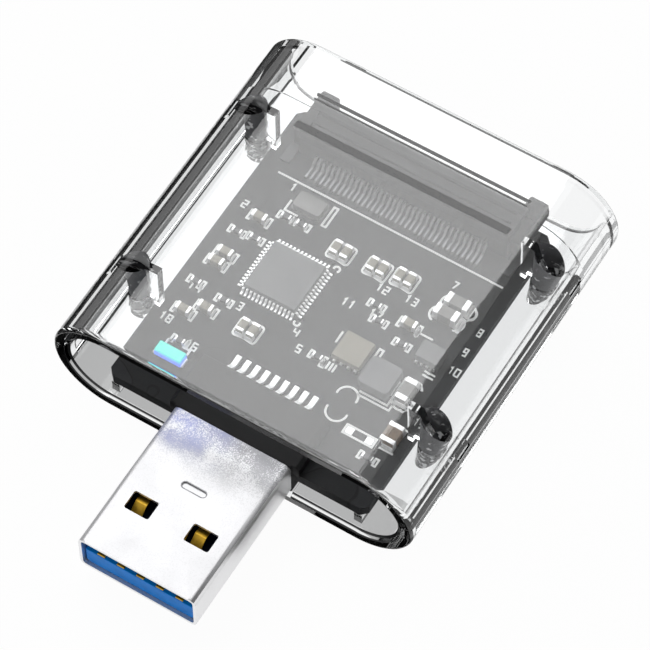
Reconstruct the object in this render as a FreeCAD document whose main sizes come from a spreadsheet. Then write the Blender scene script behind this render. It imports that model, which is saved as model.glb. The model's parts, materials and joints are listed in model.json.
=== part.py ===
import FreeCAD, Part
import math
import os
import re
import Sketcher

# Clear adapter case for a bare drive card: two snap-together shells round a circuit board,
# a USB plug out of the front end (-Y) and a drive socket facing out of the far end (+Y).
# Millimetres, +Z up, origin at the middle of the flat underside.

doc = FreeCAD.newDocument("ssd_enclosure")
sheet = doc.addObject("Spreadsheet::Sheet", "sizes")

# Driving dimensions. A name ending in _setback is measured back from the case's front face.
dimensions = {
    # clear case: a flat tube with full-round sides, split above half its height
    "case_width": 37.0,
    "case_height": 11.4,
    "case_length": 36.6,
    "case_wall": 1.6,
    "collar_wall": 1.75,
    "collar_length": 5.75,
    "end_round": 0.8,
    "mouth_chamfer": 0.6,
    # rim between the shells: a tongue on the upper one laps inside the lower, with short keys
    # on the lower one beside the posts
    "parting_height": 6.7,
    "lap_thickness": 0.65,
    "lap_depth": 2.3,
    "lap_root": 0.6,
    "lap_inset": 1.2,
    "rim_clearance": 0.1,
    "key_length": 1.8,
    "key_height": 0.45,
    "key_inset": 0.25,
    # snap posts beside the board
    "post_spread": 30.4,
    "post_front_setback": 9.0,
    "post_rear_setback": 28.6,
    "post_radius": 1.25,
    "pin_radius": 0.75,
    "pin_length": 2.7,
    "pin_clearance": 0.1,
    "boss_radius": 1.35,
    "boss_top": 5.1,
    "boss_floor": 2.2,
    "holddown_thickness": 0.8,
    "holddown_reach": 0.6,
    "holddown_clearance": 0.1,
    # circuit board on two rails
    "board_width": 26.8,
    "board_thickness": 1.2,
    "board_bottom": 3.0,
    "board_setback": 0.9,
    "board_length": 32.4,
    "board_corner": 0.6,
    "rail_width": 0.8,
    "rail_inset": 0.4,
    "rail_end_gap": 4.5,
    # USB plug
    "plug_width": 12.0,
    "plug_height": 4.5,
    "plug_top": 5.7,
    "plug_reach": 14.9,
    "plug_sheet": 0.3,
    "plug_corner": 0.6,
    "corner_facet": 0.293,
    "plug_seat": 0.5,
    "plug_seat_clearance": 0.2,
    "window_spread": 6.1,
    "window_width": 2.5,
    "window_length": 1.9,
    "window_setback": 4.6,
    "dimple_length": 2.5,
    "dimple_width": 0.7,
    "dimple_corner": 0.18,
    "dimple_depth": 0.15,
    "dimple_setback": 9.2,
    "tongue_clearance": 0.15,
    "tongue_thickness": 2.1,
    "tongue_recess": 0.35,
    "block_start": 0.5,
    "block_length": 5.5,
    "block_flange": 0.7,
    "block_clearance": 0.2,
    # plug contacts on the tongue, and the tails behind the block
    "contact_thickness": 0.15,
    "power_pitch_inner": 2.0,
    "power_pitch_outer": 7.0,
    "power_width": 1.0,
    "power_start": 3.0,
    "power_length": 6.4,
    "signal_count": 5,
    "signal_pitch": 2.0,
    "signal_width": 0.8,
    "signal_start": 0.5,
    "signal_length": 2.1,
    "tail_pitch": 1.0,
    "tail_count": 9,
    "tail_width": 0.5,
    "tail_sheet": 0.2,
    "tail_rise": 0.8,
    "tail_shelf": 0.35,
    "tail_foot": 1.2,
    "tail_drop": 0.5,
    # drive socket
    "socket_width": 22.0,
    "socket_height": 3.4,
    "socket_setback": 29.2,
    "socket_depth": 4.0,
    "socket_bevel": 0.5,
    "socket_back_bevel": 1.0,
    "slot_width": 20.2,
    "slot_height": 1.3,
    "slot_depth": 2.6,
    "slot_rise": 1.2,
    "slot_key_width": 1.2,
    "slot_key_shift": 6.1,
    "groove_count": 2,
    "groove_width": 0.55,
    "groove_depth": 0.35,
    "groove_margin": 0.6,
    "groove_first": 1.1,
    "groove_step": 1.15,
    "arm_width": 1.6,
    "arm_height": 2.4,
    "arm_start": 0.6,
    "arm_length": 5.4,
    "arm_round": 1.0,
    "leaf_pitch": 0.5,
    "leaf_count": 37,
    "leaf_width": 0.2,
    "leaf_sheet": 0.15,
    "leaf_rise": 0.9,
    "leaf_shelf": 0.4,
    "leaf_slope": 0.5,
    "leaf_foot": 1.1,
    "beam_length": 1.9,
    "anchor_width": 1.1,
    "anchor_length": 2.2,
    "anchor_sheet": 0.25,
    # chips and passives, sizes along X, Y and Z
    "bridge_side": 5.5,
    "bridge_height": 0.85,
    "bridge_bevel": 0.15,
    "lead_pitch": 0.4,
    "lead_count": 14,
    "lead_width": 0.22,
    "lead_length": 0.62,
    "lead_height": 0.12,
    "crystal_length": 3.2,
    "crystal_width": 2.1,
    "crystal_height": 0.75,
    "crystal_round": 0.35,
    "memory_length": 2.9,
    "memory_width": 2.9,
    "memory_height": 0.8,
    "regulator_length": 2.2,
    "regulator_width": 1.9,
    "regulator_height": 0.95,
    "inductor_side": 3.1,
    "inductor_height": 1.2,
    "inductor_round": 0.5,
    "filter_length": 2.4,
    "filter_width": 1.15,
    "filter_height": 1.15,
    "storage_length": 2.1,
    "storage_width": 1.3,
    "storage_height": 1.1,
    "capacitor_length": 1.5,
    "capacitor_width": 0.8,
    "capacitor_height": 0.75,
    "capacitor_gap": 1.05,
    "resistor_length": 1.0,
    "resistor_width": 0.5,
    "resistor_height": 0.35,
    "light_length": 2.8,
    "light_width": 1.2,
    "light_height": 0.9,
}

# Where each component's middle lies on the board: X, and Y back from the front face
places = {
    "bridge": (-4.8, 16.9),
    "crystal": (-6.9, 24.6),
    "memory": (4.4, 13.6),
    "regulator": (10.4, 16.8),
    "inductor": (7.9, 12.4),
    "storage": (11.7, 8.0),
    "light": (-9.3, 4.9),
    "filter_a": (9.6, 21.0),
    "filter_b": (9.9, 22.5),
    "filter_c": (10.6, 12.4),
    "pair_a": (1.7, 22.2),
    "pair_b": (4.4, 22.5),
    "pair_c": (-2.0, 22.0),
    "pair_d": (-4.8, 10.7),
    "chip_cap_a": (-11.0, 15.2),
    "chip_cap_b": (-10.8, 16.4),
    "chip_cap_c": (-10.8, 9.4),
    "chip_cap_d": (-9.2, 10.6),
    "chip_cap_e": (7.2, 18.6),
    "chip_cap_f": (-10.2, 21.2),
    "resistor_a": (-11.5, 12.6),
    "resistor_b": (-8.3, 12.2),
    "resistor_c": (-9.4, 6.6),
    "resistor_d": (3.6, 18.9),
    "resistor_e": (4.6, 17.6),
    "resistor_f": (7.6, 16.6),
    "resistor_g": (-11.2, 19.0),
    "resistor_h": (-9.4, 19.2),
    "resistor_i": (1.9, 11.6),
    "resistor_j": (10.9, 5.2),
    "resistor_k": (-6.6, 22.6),
    "resistor_l": (-8.2, 22.6),
}
for place, (across, back) in places.items():
    dimensions[place + "_x"] = across
    dimensions[place + "_setback"] = back

for row, (name, number) in enumerate(dimensions.items(), start=1):
    sheet.set("A%d" % row, name)
    sheet.set("B%d" % row, str(number))
    sheet.setAlias("B%d" % row, name)
doc.recompute()

# Shared levels and stations, each worked out from the driving dimensions
front = "(-case_length / 2)"
rear = "(case_length / 2)"
side_radius = "(case_height / 2)"
mid_height = "(case_height / 2)"
half_width = "(case_width / 2)"
round_centre = "(case_width / 2 - case_height / 2)"
board_top = "(board_bottom + board_thickness)"
board_front = "(-case_length / 2 + board_setback)"
board_half = "(board_width / 2)"
post_across = "(post_spread / 2)"
post_foot = "(boss_top + pin_clearance)"
plug_bottom = "(plug_top - plug_height)"
plug_front = "(-case_length / 2 - plug_reach)"
tongue_bottom = "(plug_top - plug_height + plug_sheet)"
tongue_top = "(plug_top - plug_height + plug_sheet + tongue_thickness)"
block_front = "(-case_length / 2 + block_start)"
block_rear = "(-case_length / 2 + block_start + block_length)"
socket_rear = "(-case_length / 2 + socket_setback)"
socket_mouth = "(-case_length / 2 + socket_setback + socket_depth)"
slot_floor = "(board_bottom + board_thickness + slot_rise)"

# How close two lengths must be to count as the same when edges are picked
same_length = 0.0001


def bound(text):
    def qualify(match):
        word = match.group()
        return "sizes." + word if word in dimensions else word
    return re.sub(r"[a-z_]+", qualify, text)


def value(text):
    return float(sheet.evalExpression(bound(text)))


def origin_feature(body, role):
    for feature in body.Origin.OriginFeatures:
        if feature.Role == role:
            return feature


def new_body(label):
    body = doc.addObject("PartDesign::Body", label)
    body.Label = label
    return body


def new_sketch(body, role, offset):
    sketch = body.newObject("Sketcher::SketchObject", body.Name + "_sketch")
    sketch.AttachmentSupport = [(origin_feature(body, role), "")]
    sketch.MapMode = "FlatFace"
    sketch.setExpression("AttachmentOffset.Base.z", bound(offset))
    return sketch


def locate(sketch, geometry, vertex, across, up):
    for kind, text in (("DistanceX", across), ("DistanceY", up)):
        rule = Sketcher.Constraint(kind, -1, 1, geometry, vertex, value(text))
        index = sketch.addConstraint(rule)
        sketch.setExpression("Constraints[%d]" % index, bound(text))


def fix_radius(sketch, geometry, text):
    index = sketch.addConstraint(Sketcher.Constraint("Radius", geometry, value(text)))
    sketch.setExpression("Constraints[%d]" % index, bound(text))


def draw_polygon(sketch, corners):
    first = sketch.GeometryCount
    count = len(corners)
    points = [FreeCAD.Vector(value(across), value(up), 0) for across, up in corners]
    for i in range(count):
        sketch.addGeometry(Part.LineSegment(points[i], points[(i + 1) % count]), False)
    for i in range(count):
        following = first + (i + 1) % count
        sketch.addConstraint(Sketcher.Constraint("Coincident", first + i, 2, following, 1))
    for i, (across, up) in enumerate(corners):
        locate(sketch, first + i, 1, across, up)


def draw_rectangle(sketch, left, right, low, high):
    draw_polygon(sketch, [(left, low), (right, low), (right, high), (left, high)])


def draw_circle(sketch, across, up, radius):
    middle = FreeCAD.Vector(value(across), value(up), 0)
    index = sketch.addGeometry(Part.Circle(middle, FreeCAD.Vector(0, 0, 1), value(radius)), False)
    locate(sketch, index, 3, across, up)
    fix_radius(sketch, index, radius)


def draw_tube(sketch, half, radius):
    # The tube's section: two flats joined by a half round at each side
    quarter = math.pi / 2
    arcs = []
    for sign, start in (("", -quarter), ("-", quarter)):
        centre = sign + "(" + half + " - " + radius + ")"
        middle = FreeCAD.Vector(value(centre), value(mid_height), 0)
        circle = Part.Circle(middle, FreeCAD.Vector(0, 0, 1), value(radius))
        arc = sketch.addGeometry(Part.ArcOfCircle(circle, start, start + 2 * quarter), False)
        arcs.append(arc)
        locate(sketch, arc, 3, centre, mid_height)
        fix_radius(sketch, arc, radius)
        for end in (1, 2):
            sketch.addConstraint(Sketcher.Constraint("Vertical", arc, end, arc, 3))
    right, left = arcs
    for right_end, left_end in ((2, 1), (1, 2)):
        ends = [sketch.getPoint(right, right_end), sketch.getPoint(left, left_end)]
        line = sketch.addGeometry(Part.LineSegment(*ends), False)
        sketch.addConstraint(Sketcher.Constraint("Coincident", line, 1, right, right_end))
        sketch.addConstraint(Sketcher.Constraint("Coincident", line, 2, left, left_end))


def extrude(body, kind, sketch, length, reverse):
    feature = body.newObject("PartDesign::" + kind, body.Name + "_" + kind.lower())
    feature.Profile = sketch
    feature.setExpression("Length", bound(length))
    feature.Reversed = reverse
    doc.recompute()
    return feature


def section_at(body, station):
    # A sketch across the case (X to the right, Z up) at the given Y
    return new_sketch(body, "XZ_Plane", "-(" + station + ")")


def plan_at(body, level):
    return new_sketch(body, "XY_Plane", level)


def profile_at(body, across):
    # A sketch along the case (Y to the right, Z up) at the given X
    return new_sketch(body, "YZ_Plane", across)


def pad_back(body, sketch, length):
    return extrude(body, "Pad", sketch, length, True)


def cut_back(body, sketch, length):
    return extrude(body, "Pocket", sketch, length, False)


def pad_up(body, sketch, length):
    return extrude(body, "Pad", sketch, length, False)


def cut_up(body, sketch, length):
    return extrude(body, "Pocket", sketch, length, True)


def pad_right(body, sketch, length):
    return extrude(body, "Pad", sketch, length, False)


def dress_edges(body, kind, size_name, size, wanted):
    base = body.Tip
    names = ["Edge%d" % (i + 1) for i, edge in enumerate(base.Shape.Edges) if wanted(edge)]
    feature = body.newObject("PartDesign::" + kind, body.Name + "_" + kind.lower())
    feature.Base = (base, names)
    feature.setExpression(size_name, bound(size))
    doc.recompute()
    return feature


def near(a, b):
    return abs(a - b) < same_length


def repeat_across(body, feature, pitch, count):
    pattern = body.newObject("PartDesign::LinearPattern", body.Name + "_row")
    pattern.Originals = [feature]
    pattern.Direction = (origin_feature(body, "X_Axis"), [""])
    pattern.Mode = "Spacing"
    pattern.setExpression("Offset", bound(pitch))
    pattern.setExpression("Occurrences", bound(count))
    body.Tip = pattern
    doc.recompute()
    return pattern


def add_block(name, low, high):
    box = doc.addObject("Part::Box", name)
    for side, axis, start, end in zip(("Length", "Width", "Height"), "xyz", low, high):
        box.setExpression(side, bound("(" + end + ") - (" + start + ")"))
        box.setExpression("Placement.Base." + axis, bound(start))
    return box


def add_group(label, members):
    group = doc.addObject("Part::Compound", label)
    group.Label = label
    group.Links = members
    return group


def on_board(name, place, length, width, height, shift="0"):
    across = "(" + place + "_x + " + shift + ")"
    back = "(-case_length / 2 + " + place + "_setback)"
    low = (across + " - " + length + " / 2", back + " - " + width + " / 2", board_top)
    high = (across + " + " + length + " / 2", back + " + " + width + " / 2", board_top + " + " + height)
    return add_block(name, low, high)


# Clear shells: the whole tube is padded, rounded at its ends, hollowed and cut at the parting line
def shell_part(label, cut_low, cut_high):
    body = new_body(label)
    outer = section_at(body, front)
    draw_tube(outer, half_width, side_radius)
    pad_back(body, outer, "case_length")

    def end_edge(edge):
        return near(edge.BoundBox.YMin, edge.BoundBox.YMax)

    dress_edges(body, "Fillet", "Radius", "end_round", end_edge)
    collar = section_at(body, front)
    draw_tube(collar, "(case_width / 2 - collar_wall)", "(case_height / 2 - collar_wall)")
    cut_back(body, collar, "case_length")
    bay = section_at(body, front)
    draw_tube(bay, "(case_width / 2 - case_wall)", "(case_height / 2 - case_wall)")
    cut_back(body, bay, "case_length - collar_length")
    floor = value("case_wall") - same_length
    ceiling = value("case_height - case_wall") + same_length

    def mouth_edge(edge):
        box = edge.BoundBox
        at_front = near(box.YMin, box.YMax) and near(box.YMin, value(front))
        return at_front and box.ZMin > floor and box.ZMax < ceiling

    dress_edges(body, "Chamfer", "Size", "mouth_chamfer", mouth_edge)
    other_part = section_at(body, front)
    draw_rectangle(other_part, "-case_width", "case_width", cut_low, cut_high)
    cut_back(body, other_part, "case_length")
    return body


def post_stations():
    for station in ("post_front_setback", "post_rear_setback"):
        for sign in ("", "-"):
            yield sign, "(-case_length / 2 + " + station + ")"


# Depth at which a post's end is buried in the curved wall, half way between its two faces
wall_inner = "sqrt((case_height / 2 - case_wall) ^ 2 - (%s - %s - %s) ^ 2)"
wall_outer = "sqrt((case_height / 2) ^ 2 - (%s + %s - %s) ^ 2)"
post_root = "(" + wall_inner % (post_across, "post_radius", round_centre)
post_root += " + " + wall_outer % (post_across, "post_radius", round_centre) + ") / 2"
boss_root = "(" + wall_inner % (post_across, "boss_radius", round_centre)
boss_root += " + " + wall_outer % (post_across, "boss_radius", round_centre) + ") / 2"
rib_root = "(case_height / 2 - case_wall + sqrt((case_height / 2) ^ 2"
rib_root += " - (" + post_across + " - " + round_centre + ") ^ 2)) / 2"

# The lap tongue stands upright at the inner face of the side wall
lap_inner = "(case_width / 2 - case_wall - rim_clearance / 2)"
lap_outer = "(case_width / 2 - case_wall - rim_clearance / 2 + lap_thickness)"


def draw_holddowns(sketch, near_end, far_end):
    for sign, station in post_stations():
        ends = sorted((sign + near_end, sign + far_end), key=value)
        low = station + " - holddown_thickness / 2"
        high = station + " + holddown_thickness / 2"
        draw_rectangle(sketch, ends[0], ends[1], low, high)


def build_upper_shell():
    body = shell_part("upper_shell", "-case_height", "parting_height")
    posts = plan_at(body, post_foot)
    for sign, station in post_stations():
        draw_circle(posts, sign + post_across, station, "post_radius")
    pad_up(body, posts, mid_height + " + " + post_root + " - " + post_foot)
    pins = plan_at(body, post_foot + " - pin_length")
    for sign, station in post_stations():
        draw_circle(pins, sign + post_across, station, "pin_radius")
    pad_up(body, pins, "pin_length")
    foot_level = board_top + " + holddown_clearance"
    toe = "(" + board_half + " - holddown_reach)"
    ribs = plan_at(body, post_foot)
    draw_holddowns(ribs, toe, post_across)
    pad_up(body, ribs, mid_height + " + " + rib_root + " - " + post_foot)
    feet = plan_at(body, foot_level)
    draw_holddowns(feet, toe, board_half)
    pad_up(body, feet, post_foot + " - (" + foot_level + ")")
    tongue = plan_at(body, "parting_height - lap_depth")
    lap_start = front + " + lap_inset"
    lap_end = rear + " - collar_length - lap_inset"
    draw_rectangle(tongue, lap_inner, lap_outer, lap_start, lap_end)
    draw_rectangle(tongue, "-" + lap_outer, "-" + lap_inner, lap_start, lap_end)
    pad_up(body, tongue, "lap_depth + lap_root")
    notches = plan_at(body, "parting_height")
    key_inner = lap_outer
    for sign, station in post_stations():
        ends = sorted((sign + key_inner, sign + "(case_width / 2 + rim_clearance)"), key=value)
        low = station + " - key_length / 2 - rim_clearance"
        high = station + " + key_length / 2 + rim_clearance"
        draw_rectangle(notches, ends[0], ends[1], low, high)
    cut_up(body, notches, "key_height + rim_clearance")
    return body


def build_lower_shell():
    body = shell_part("lower_shell", "parting_height", "case_height * 2")
    boss_foot = mid_height + " - " + boss_root
    bosses = plan_at(body, boss_foot)
    for sign, station in post_stations():
        draw_circle(bosses, sign + post_across, station, "boss_radius")
    pad_up(body, bosses, "boss_top - (" + boss_foot + ")")
    holes = plan_at(body, "boss_floor")
    for sign, station in post_stations():
        draw_circle(holes, sign + post_across, station, "(pin_radius + pin_clearance)")
    cut_up(body, holes, "boss_top - boss_floor")
    rails = plan_at(body, "case_wall / 2")
    rail_outer = "(board_width / 2 - rail_inset)"
    rail_inner = "(board_width / 2 - rail_inset - rail_width)"
    rail_end = board_front + " + board_length - rail_end_gap"
    draw_rectangle(rails, rail_inner, rail_outer, board_front, rail_end)
    draw_rectangle(rails, "-" + rail_outer, "-" + rail_inner, board_front, rail_end)
    pad_up(body, rails, "board_bottom - case_wall / 2")
    rebate = plan_at(body, "parting_height - lap_depth - rim_clearance")
    rebate_inner = "(" + lap_inner + " - rim_clearance * 2)"
    rebate_outer = "(" + lap_outer + " + rim_clearance)"
    lap_start = front + " + lap_inset - rim_clearance"
    lap_end = rear + " - collar_length - lap_inset + rim_clearance"
    draw_rectangle(rebate, rebate_inner, rebate_outer, lap_start, lap_end)
    draw_rectangle(rebate, "-" + rebate_outer, "-" + rebate_inner, lap_start, lap_end)
    cut_up(body, rebate, "lap_depth + rim_clearance * 2")
    keys = plan_at(body, "parting_height - key_height")
    key_inner = rebate_outer
    for sign, station in post_stations():
        ends = sorted((sign + key_inner, sign + "(case_width / 2 - key_inset)"), key=value)
        low = station + " - key_length / 2"
        high = station + " + key_length / 2"
        draw_rectangle(keys, ends[0], ends[1], low, high)
    pad_up(body, keys, "key_height * 2")
    seat = plan_at(body, plug_bottom + " - plug_seat_clearance")
    seat_half = "(plug_width / 2 + plug_seat_clearance)"
    seat_end = block_rear + " + plug_seat_clearance"
    draw_rectangle(seat, "-" + seat_half, seat_half, front + " - plug_seat", seat_end)
    cut_up(body, seat, "case_wall + mouth_chamfer - (" + plug_bottom + " - plug_seat_clearance)")
    return body


def build_circuit_board():
    body = new_body("circuit_board")
    outline = plan_at(body, "board_bottom")
    back = board_front + " + board_length"
    notch_half = "(plug_width / 2 + block_clearance)"
    notch_end = block_rear + " + block_clearance"
    near_corner = board_front + " + board_corner"
    far_corner = back + " - board_corner"
    inner = "(board_width / 2 - board_corner)"
    right = [
        (notch_half, notch_end), (notch_half, board_front), (inner, board_front),
        (board_half, near_corner), (board_half, far_corner), (inner, back),
    ]
    left = [("-" + across, up) for across, up in reversed(right)]
    draw_polygon(outline, right + left)
    pad_up(body, outline, "board_thickness")
    return body


# USB plug: a folded sheet tube with windows, round a tongue that carries the contacts
def draw_rounded(sketch, half, low, high, corner):
    # Rectangle with bevelled-round corners, each made of two short facets
    near_side = half + " - " + corner
    shallow = corner + " * corner_facet"
    points = []
    for sign, flip in (("", False), ("-", True)):
        side = [
            (sign + "(" + near_side + ")", low),
            (sign + "(" + half + " - " + shallow + ")", low + " + " + shallow),
            (sign + half, low + " + " + corner),
            (sign + half, high + " - " + corner),
            (sign + "(" + half + " - " + shallow + ")", high + " - " + shallow),
            (sign + "(" + near_side + ")", high),
        ]
        points += list(reversed(side)) if flip else side
    draw_polygon(sketch, points)


def build_usb_shell():
    body = new_body("usb_shell")
    length = "plug_reach + block_start"
    outer = section_at(body, plug_front)
    draw_rounded(outer, "(plug_width / 2)", plug_bottom, "plug_top", "plug_corner")
    pad_back(body, outer, length)
    inner = section_at(body, plug_front)
    hollow_half = "(plug_width / 2 - plug_sheet)"
    hollow_corner = "(plug_corner - plug_sheet)"
    hollow_top = "(plug_top - plug_sheet)"
    draw_rounded(inner, hollow_half, tongue_bottom, hollow_top, hollow_corner)
    cut_back(body, inner, length)
    windows = plan_at(body, plug_bottom + " - plug_sheet")
    for sign in ("", "-"):
        middle = sign + "window_spread / 2"
        low = plug_front + " + window_setback"
        draw_rectangle(windows, middle + " - window_width / 2", middle + " + window_width / 2",
                       low, low + " + window_length")
    cut_up(body, windows, "plug_height + plug_sheet * 2")
    dimple = plan_at(body, "plug_top - dimple_depth")
    station = plug_front + " + dimple_setback"
    end = "dimple_length / 2"
    round_end = "dimple_length / 2 - dimple_corner"
    side = "dimple_width / 2"
    round_side = "(dimple_width / 2 - dimple_corner)"
    draw_polygon(dimple, [
        ("-(" + round_end + ")", station + " - " + side),
        (round_end, station + " - " + side),
        (end, station + " - " + round_side),
        (end, station + " + " + round_side),
        (round_end, station + " + " + side),
        ("-(" + round_end + ")", station + " + " + side),
        ("-" + end, station + " + " + round_side),
        ("-" + end, station + " - " + round_side),
    ])
    cut_up(body, dimple, "dimple_depth * 2")
    return body


def build_usb_tongue():
    body = new_body("usb_tongue")
    profile = section_at(body, plug_front + " + tongue_recess")
    half = "(plug_width / 2 - plug_sheet - tongue_clearance)"
    bevel = "(plug_corner - plug_sheet)"
    draw_polygon(profile, [
        ("-(" + half + " - " + bevel + ")", tongue_bottom), (half + " - " + bevel, tongue_bottom),
        (half, tongue_bottom + " + " + bevel), (half, tongue_top),
        ("-" + half, tongue_top), ("-" + half, tongue_bottom + " + " + bevel),
    ])
    pad_back(body, profile, "plug_reach + block_start - tongue_recess")
    return body


def build_usb_rear_block():
    body = new_body("usb_rear_block")
    profile = section_at(body, block_front)
    half = "(plug_width / 2)"
    wing = "(plug_width / 2 + block_flange)"
    draw_polygon(profile, [
        ("-" + half, plug_bottom), (half, plug_bottom), (half, board_top), (wing, board_top),
        (wing, "plug_top - block_flange / 2"), (wing + " - block_flange / 2", "plug_top"),
        ("-(" + wing + " - block_flange / 2)", "plug_top"), ("-" + wing, "plug_top - block_flange / 2"),
        ("-" + wing, board_top), ("-" + half, board_top),
    ])
    pad_back(body, profile, "block_length")
    relief = plan_at(body, plug_bottom)
    draw_rectangle(relief, "-" + wing, "-" + half, block_front, board_front + " - block_clearance")
    draw_rectangle(relief, half, wing, block_front, board_front + " - block_clearance")
    cut_up(body, relief, "plug_height")
    return body


def tongue_contact(name, across, width, start, length):
    low = (across + " - " + width + " / 2", plug_front + " + tongue_recess + " + start, tongue_top)
    high = (across + " + " + width + " / 2",
            plug_front + " + tongue_recess + " + start + " + " + length,
            tongue_top + " + contact_thickness")
    return add_block(name, low, high)


def build_plug_contacts():
    power = []
    for pitch in ("power_pitch_inner", "power_pitch_outer"):
        for sign in ("", "-"):
            across = "(" + sign + pitch + " / 2)"
            power.append(tongue_contact("power_contact", across, "power_width", "power_start",
                                        "power_length"))
    signal = []
    for place in range(int(value("signal_count"))):
        across = "(signal_pitch * (%d - (signal_count - 1) / 2))" % place
        signal.append(tongue_contact("signal_contact", across, "signal_width", "signal_start",
                                     "signal_length"))
    return [add_group("usb_power_contacts", power), add_group("usb_signal_contacts", signal)]


def bent_leaf(body, first_across, root, level, width, thickness, rise, shelf, slope, foot, away):
    # A flat strip that leaves its root, dips to the board and ends in a foot; away is + or -
    def along(text):
        return root + " " + away + " (" + text + ")"
    ground = level
    top = level + " + " + rise
    profile = profile_at(body, first_across + " - " + width + " / 2")
    toe = shelf + " + " + slope
    corners = [
        (along("0"), top),
        (along(shelf), top),
        (along(toe), ground + " + " + thickness),
        (along(toe + " + " + foot), ground + " + " + thickness),
        (along(toe + " + " + foot), ground),
        (along(toe + " - " + thickness), ground),
        (along(shelf + " - " + thickness), top + " - " + thickness),
        (along("0"), top + " - " + thickness),
    ]
    draw_polygon(profile, corners)
    return pad_right(body, profile, width)


def build_solder_tails():
    body = new_body("usb_solder_tails")
    first = "(-tail_pitch * (tail_count - 1) / 2)"
    leaf = bent_leaf(body, first, block_rear, board_top, "tail_width", "tail_sheet", "tail_rise",
                     "tail_shelf", "tail_drop", "tail_foot", "+")
    repeat_across(body, leaf, "tail_pitch", "tail_count")
    return body


# Drive socket: a bevelled bar with a keyed slot and two guide arms
def build_socket_housing():
    body = new_body("ssd_socket")
    profile = profile_at(body, "-socket_width / 2")
    top = board_top + " + socket_height"
    draw_polygon(profile, [
        (socket_rear, board_top), (socket_mouth, board_top),
        (socket_mouth, top + " - socket_bevel"), (socket_mouth + " - socket_bevel", top),
        (socket_rear + " + socket_back_bevel", top), (socket_rear, top + " - socket_back_bevel"),
    ])
    pad_right(body, profile, "socket_width")
    arms = plan_at(body, board_top)
    arm_low = socket_rear + " + arm_start"
    arm_high = socket_rear + " + arm_start + arm_length"
    arm_root = "(socket_width / 2 - arm_width / 2)"
    arm_face = "(socket_width / 2 + arm_width / 2)"
    draw_rectangle(arms, arm_root, arm_face, arm_low, arm_high)
    draw_rectangle(arms, "-" + arm_face, "-" + arm_root, arm_low, arm_high)
    pad_up(body, arms, "arm_height")
    arm_top = value(board_top + " + arm_height")
    arm_end = value(arm_high)

    def arm_tip(edge):
        box = edge.BoundBox
        return near(box.YMin, arm_end) and near(box.YMax, arm_end) and near(box.ZMin, arm_top)

    dress_edges(body, "Fillet", "Radius", "arm_round", arm_tip)
    slot = section_at(body, socket_mouth + " - slot_depth")
    key_left = "slot_key_shift - slot_key_width / 2"
    key_right = "slot_key_shift + slot_key_width / 2"
    ceiling = slot_floor + " + slot_height"
    draw_rectangle(slot, "-slot_width / 2", key_left, slot_floor, ceiling)
    draw_rectangle(slot, key_right, "slot_width / 2", slot_floor, ceiling)
    cut_back(body, slot, "slot_depth")
    grooves = plan_at(body, top + " - groove_depth")
    groove_half = "(socket_width / 2 - groove_margin)"
    for step in range(int(value("groove_count"))):
        low = socket_rear + " + groove_first + groove_step * %d" % step
        draw_rectangle(grooves, "-" + groove_half, groove_half, low, low + " + groove_width")
    cut_up(body, grooves, "groove_depth * 2")
    return body


def build_socket_contacts():
    upper = new_body("socket_upper_contacts")
    first = "(-leaf_pitch * (leaf_count - 1) / 2)"
    leaf = bent_leaf(upper, first, socket_rear, board_top, "leaf_width", "leaf_sheet", "leaf_rise",
                     "leaf_shelf", "leaf_slope", "leaf_foot", "-")
    repeat_across(upper, leaf, "leaf_pitch", "leaf_count")
    beams = []
    shift = "(leaf_pitch * (leaf_count - 1) / 2)"
    for place in range(int(value("leaf_count"))):
        across = "(leaf_pitch * %d - %s)" % (place, shift)
        key_distance = abs(value(across) - value("slot_key_shift"))
        if key_distance < value("slot_key_width / 2 + leaf_width"):
            continue
        low = (across + " - leaf_width / 2", socket_mouth + " - slot_depth", slot_floor)
        high = (across + " + leaf_width / 2", socket_mouth + " - slot_depth + beam_length",
                slot_floor + " + leaf_sheet")
        beams.append(add_block("socket_beam", low, high))
    return [upper, add_group("socket_lower_contacts", beams)]


def build_socket_anchors():
    tabs = []
    for sign in ("", "-"):
        ends = sorted((sign + "(socket_width / 2)", sign + "(socket_width / 2 + anchor_width)"), key=value)
        low = (ends[0], socket_rear + " + arm_start - anchor_length", board_top)
        high = (ends[1], socket_rear + " + arm_start", board_top + " + anchor_sheet")
        tabs.append(add_block("anchor_tab", low, high))
    return add_group("socket_anchors", tabs)


# Chips and passives on the board's upper face
def build_bridge_chip():
    body = new_body("bridge_chip")
    base = plan_at(body, board_top)
    back = "(-case_length / 2 + bridge_setback)"
    draw_rectangle(base, "bridge_x - bridge_side / 2", "bridge_x + bridge_side / 2",
                   back + " - bridge_side / 2", back + " + bridge_side / 2")
    pad_up(body, base, "bridge_height")
    top = value(board_top + " + bridge_height")

    def upper_edge(edge):
        return near(edge.BoundBox.ZMin, top)

    dress_edges(body, "Chamfer", "Size", "bridge_bevel", upper_edge)
    return body


def build_bridge_leads():
    leads = []
    back = "(-case_length / 2 + bridge_setback)"
    count = int(value("lead_count"))
    for place in range(count):
        step = "(lead_pitch * (%d - (lead_count - 1) / 2))" % place
        for sign in ("", "-"):
            span = sorted((sign + "(bridge_side / 2)", sign + "(bridge_side / 2 + lead_length)"), key=value)
            wide = (step + " - lead_width / 2", step + " + lead_width / 2")
            rows = ((wide, span), (span, wide))
            for across, along in rows:
                low = ("bridge_x + " + across[0], back + " + " + along[0], board_top)
                high = ("bridge_x + " + across[1], back + " + " + along[1], board_top + " + lead_height")
                low = tuple("(" + text + ")" for text in low)
                high = tuple("(" + text + ")" for text in high)
                leads.append(add_block("bridge_lead", low, high))
    return add_group("bridge_chip_leads", leads)


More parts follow.
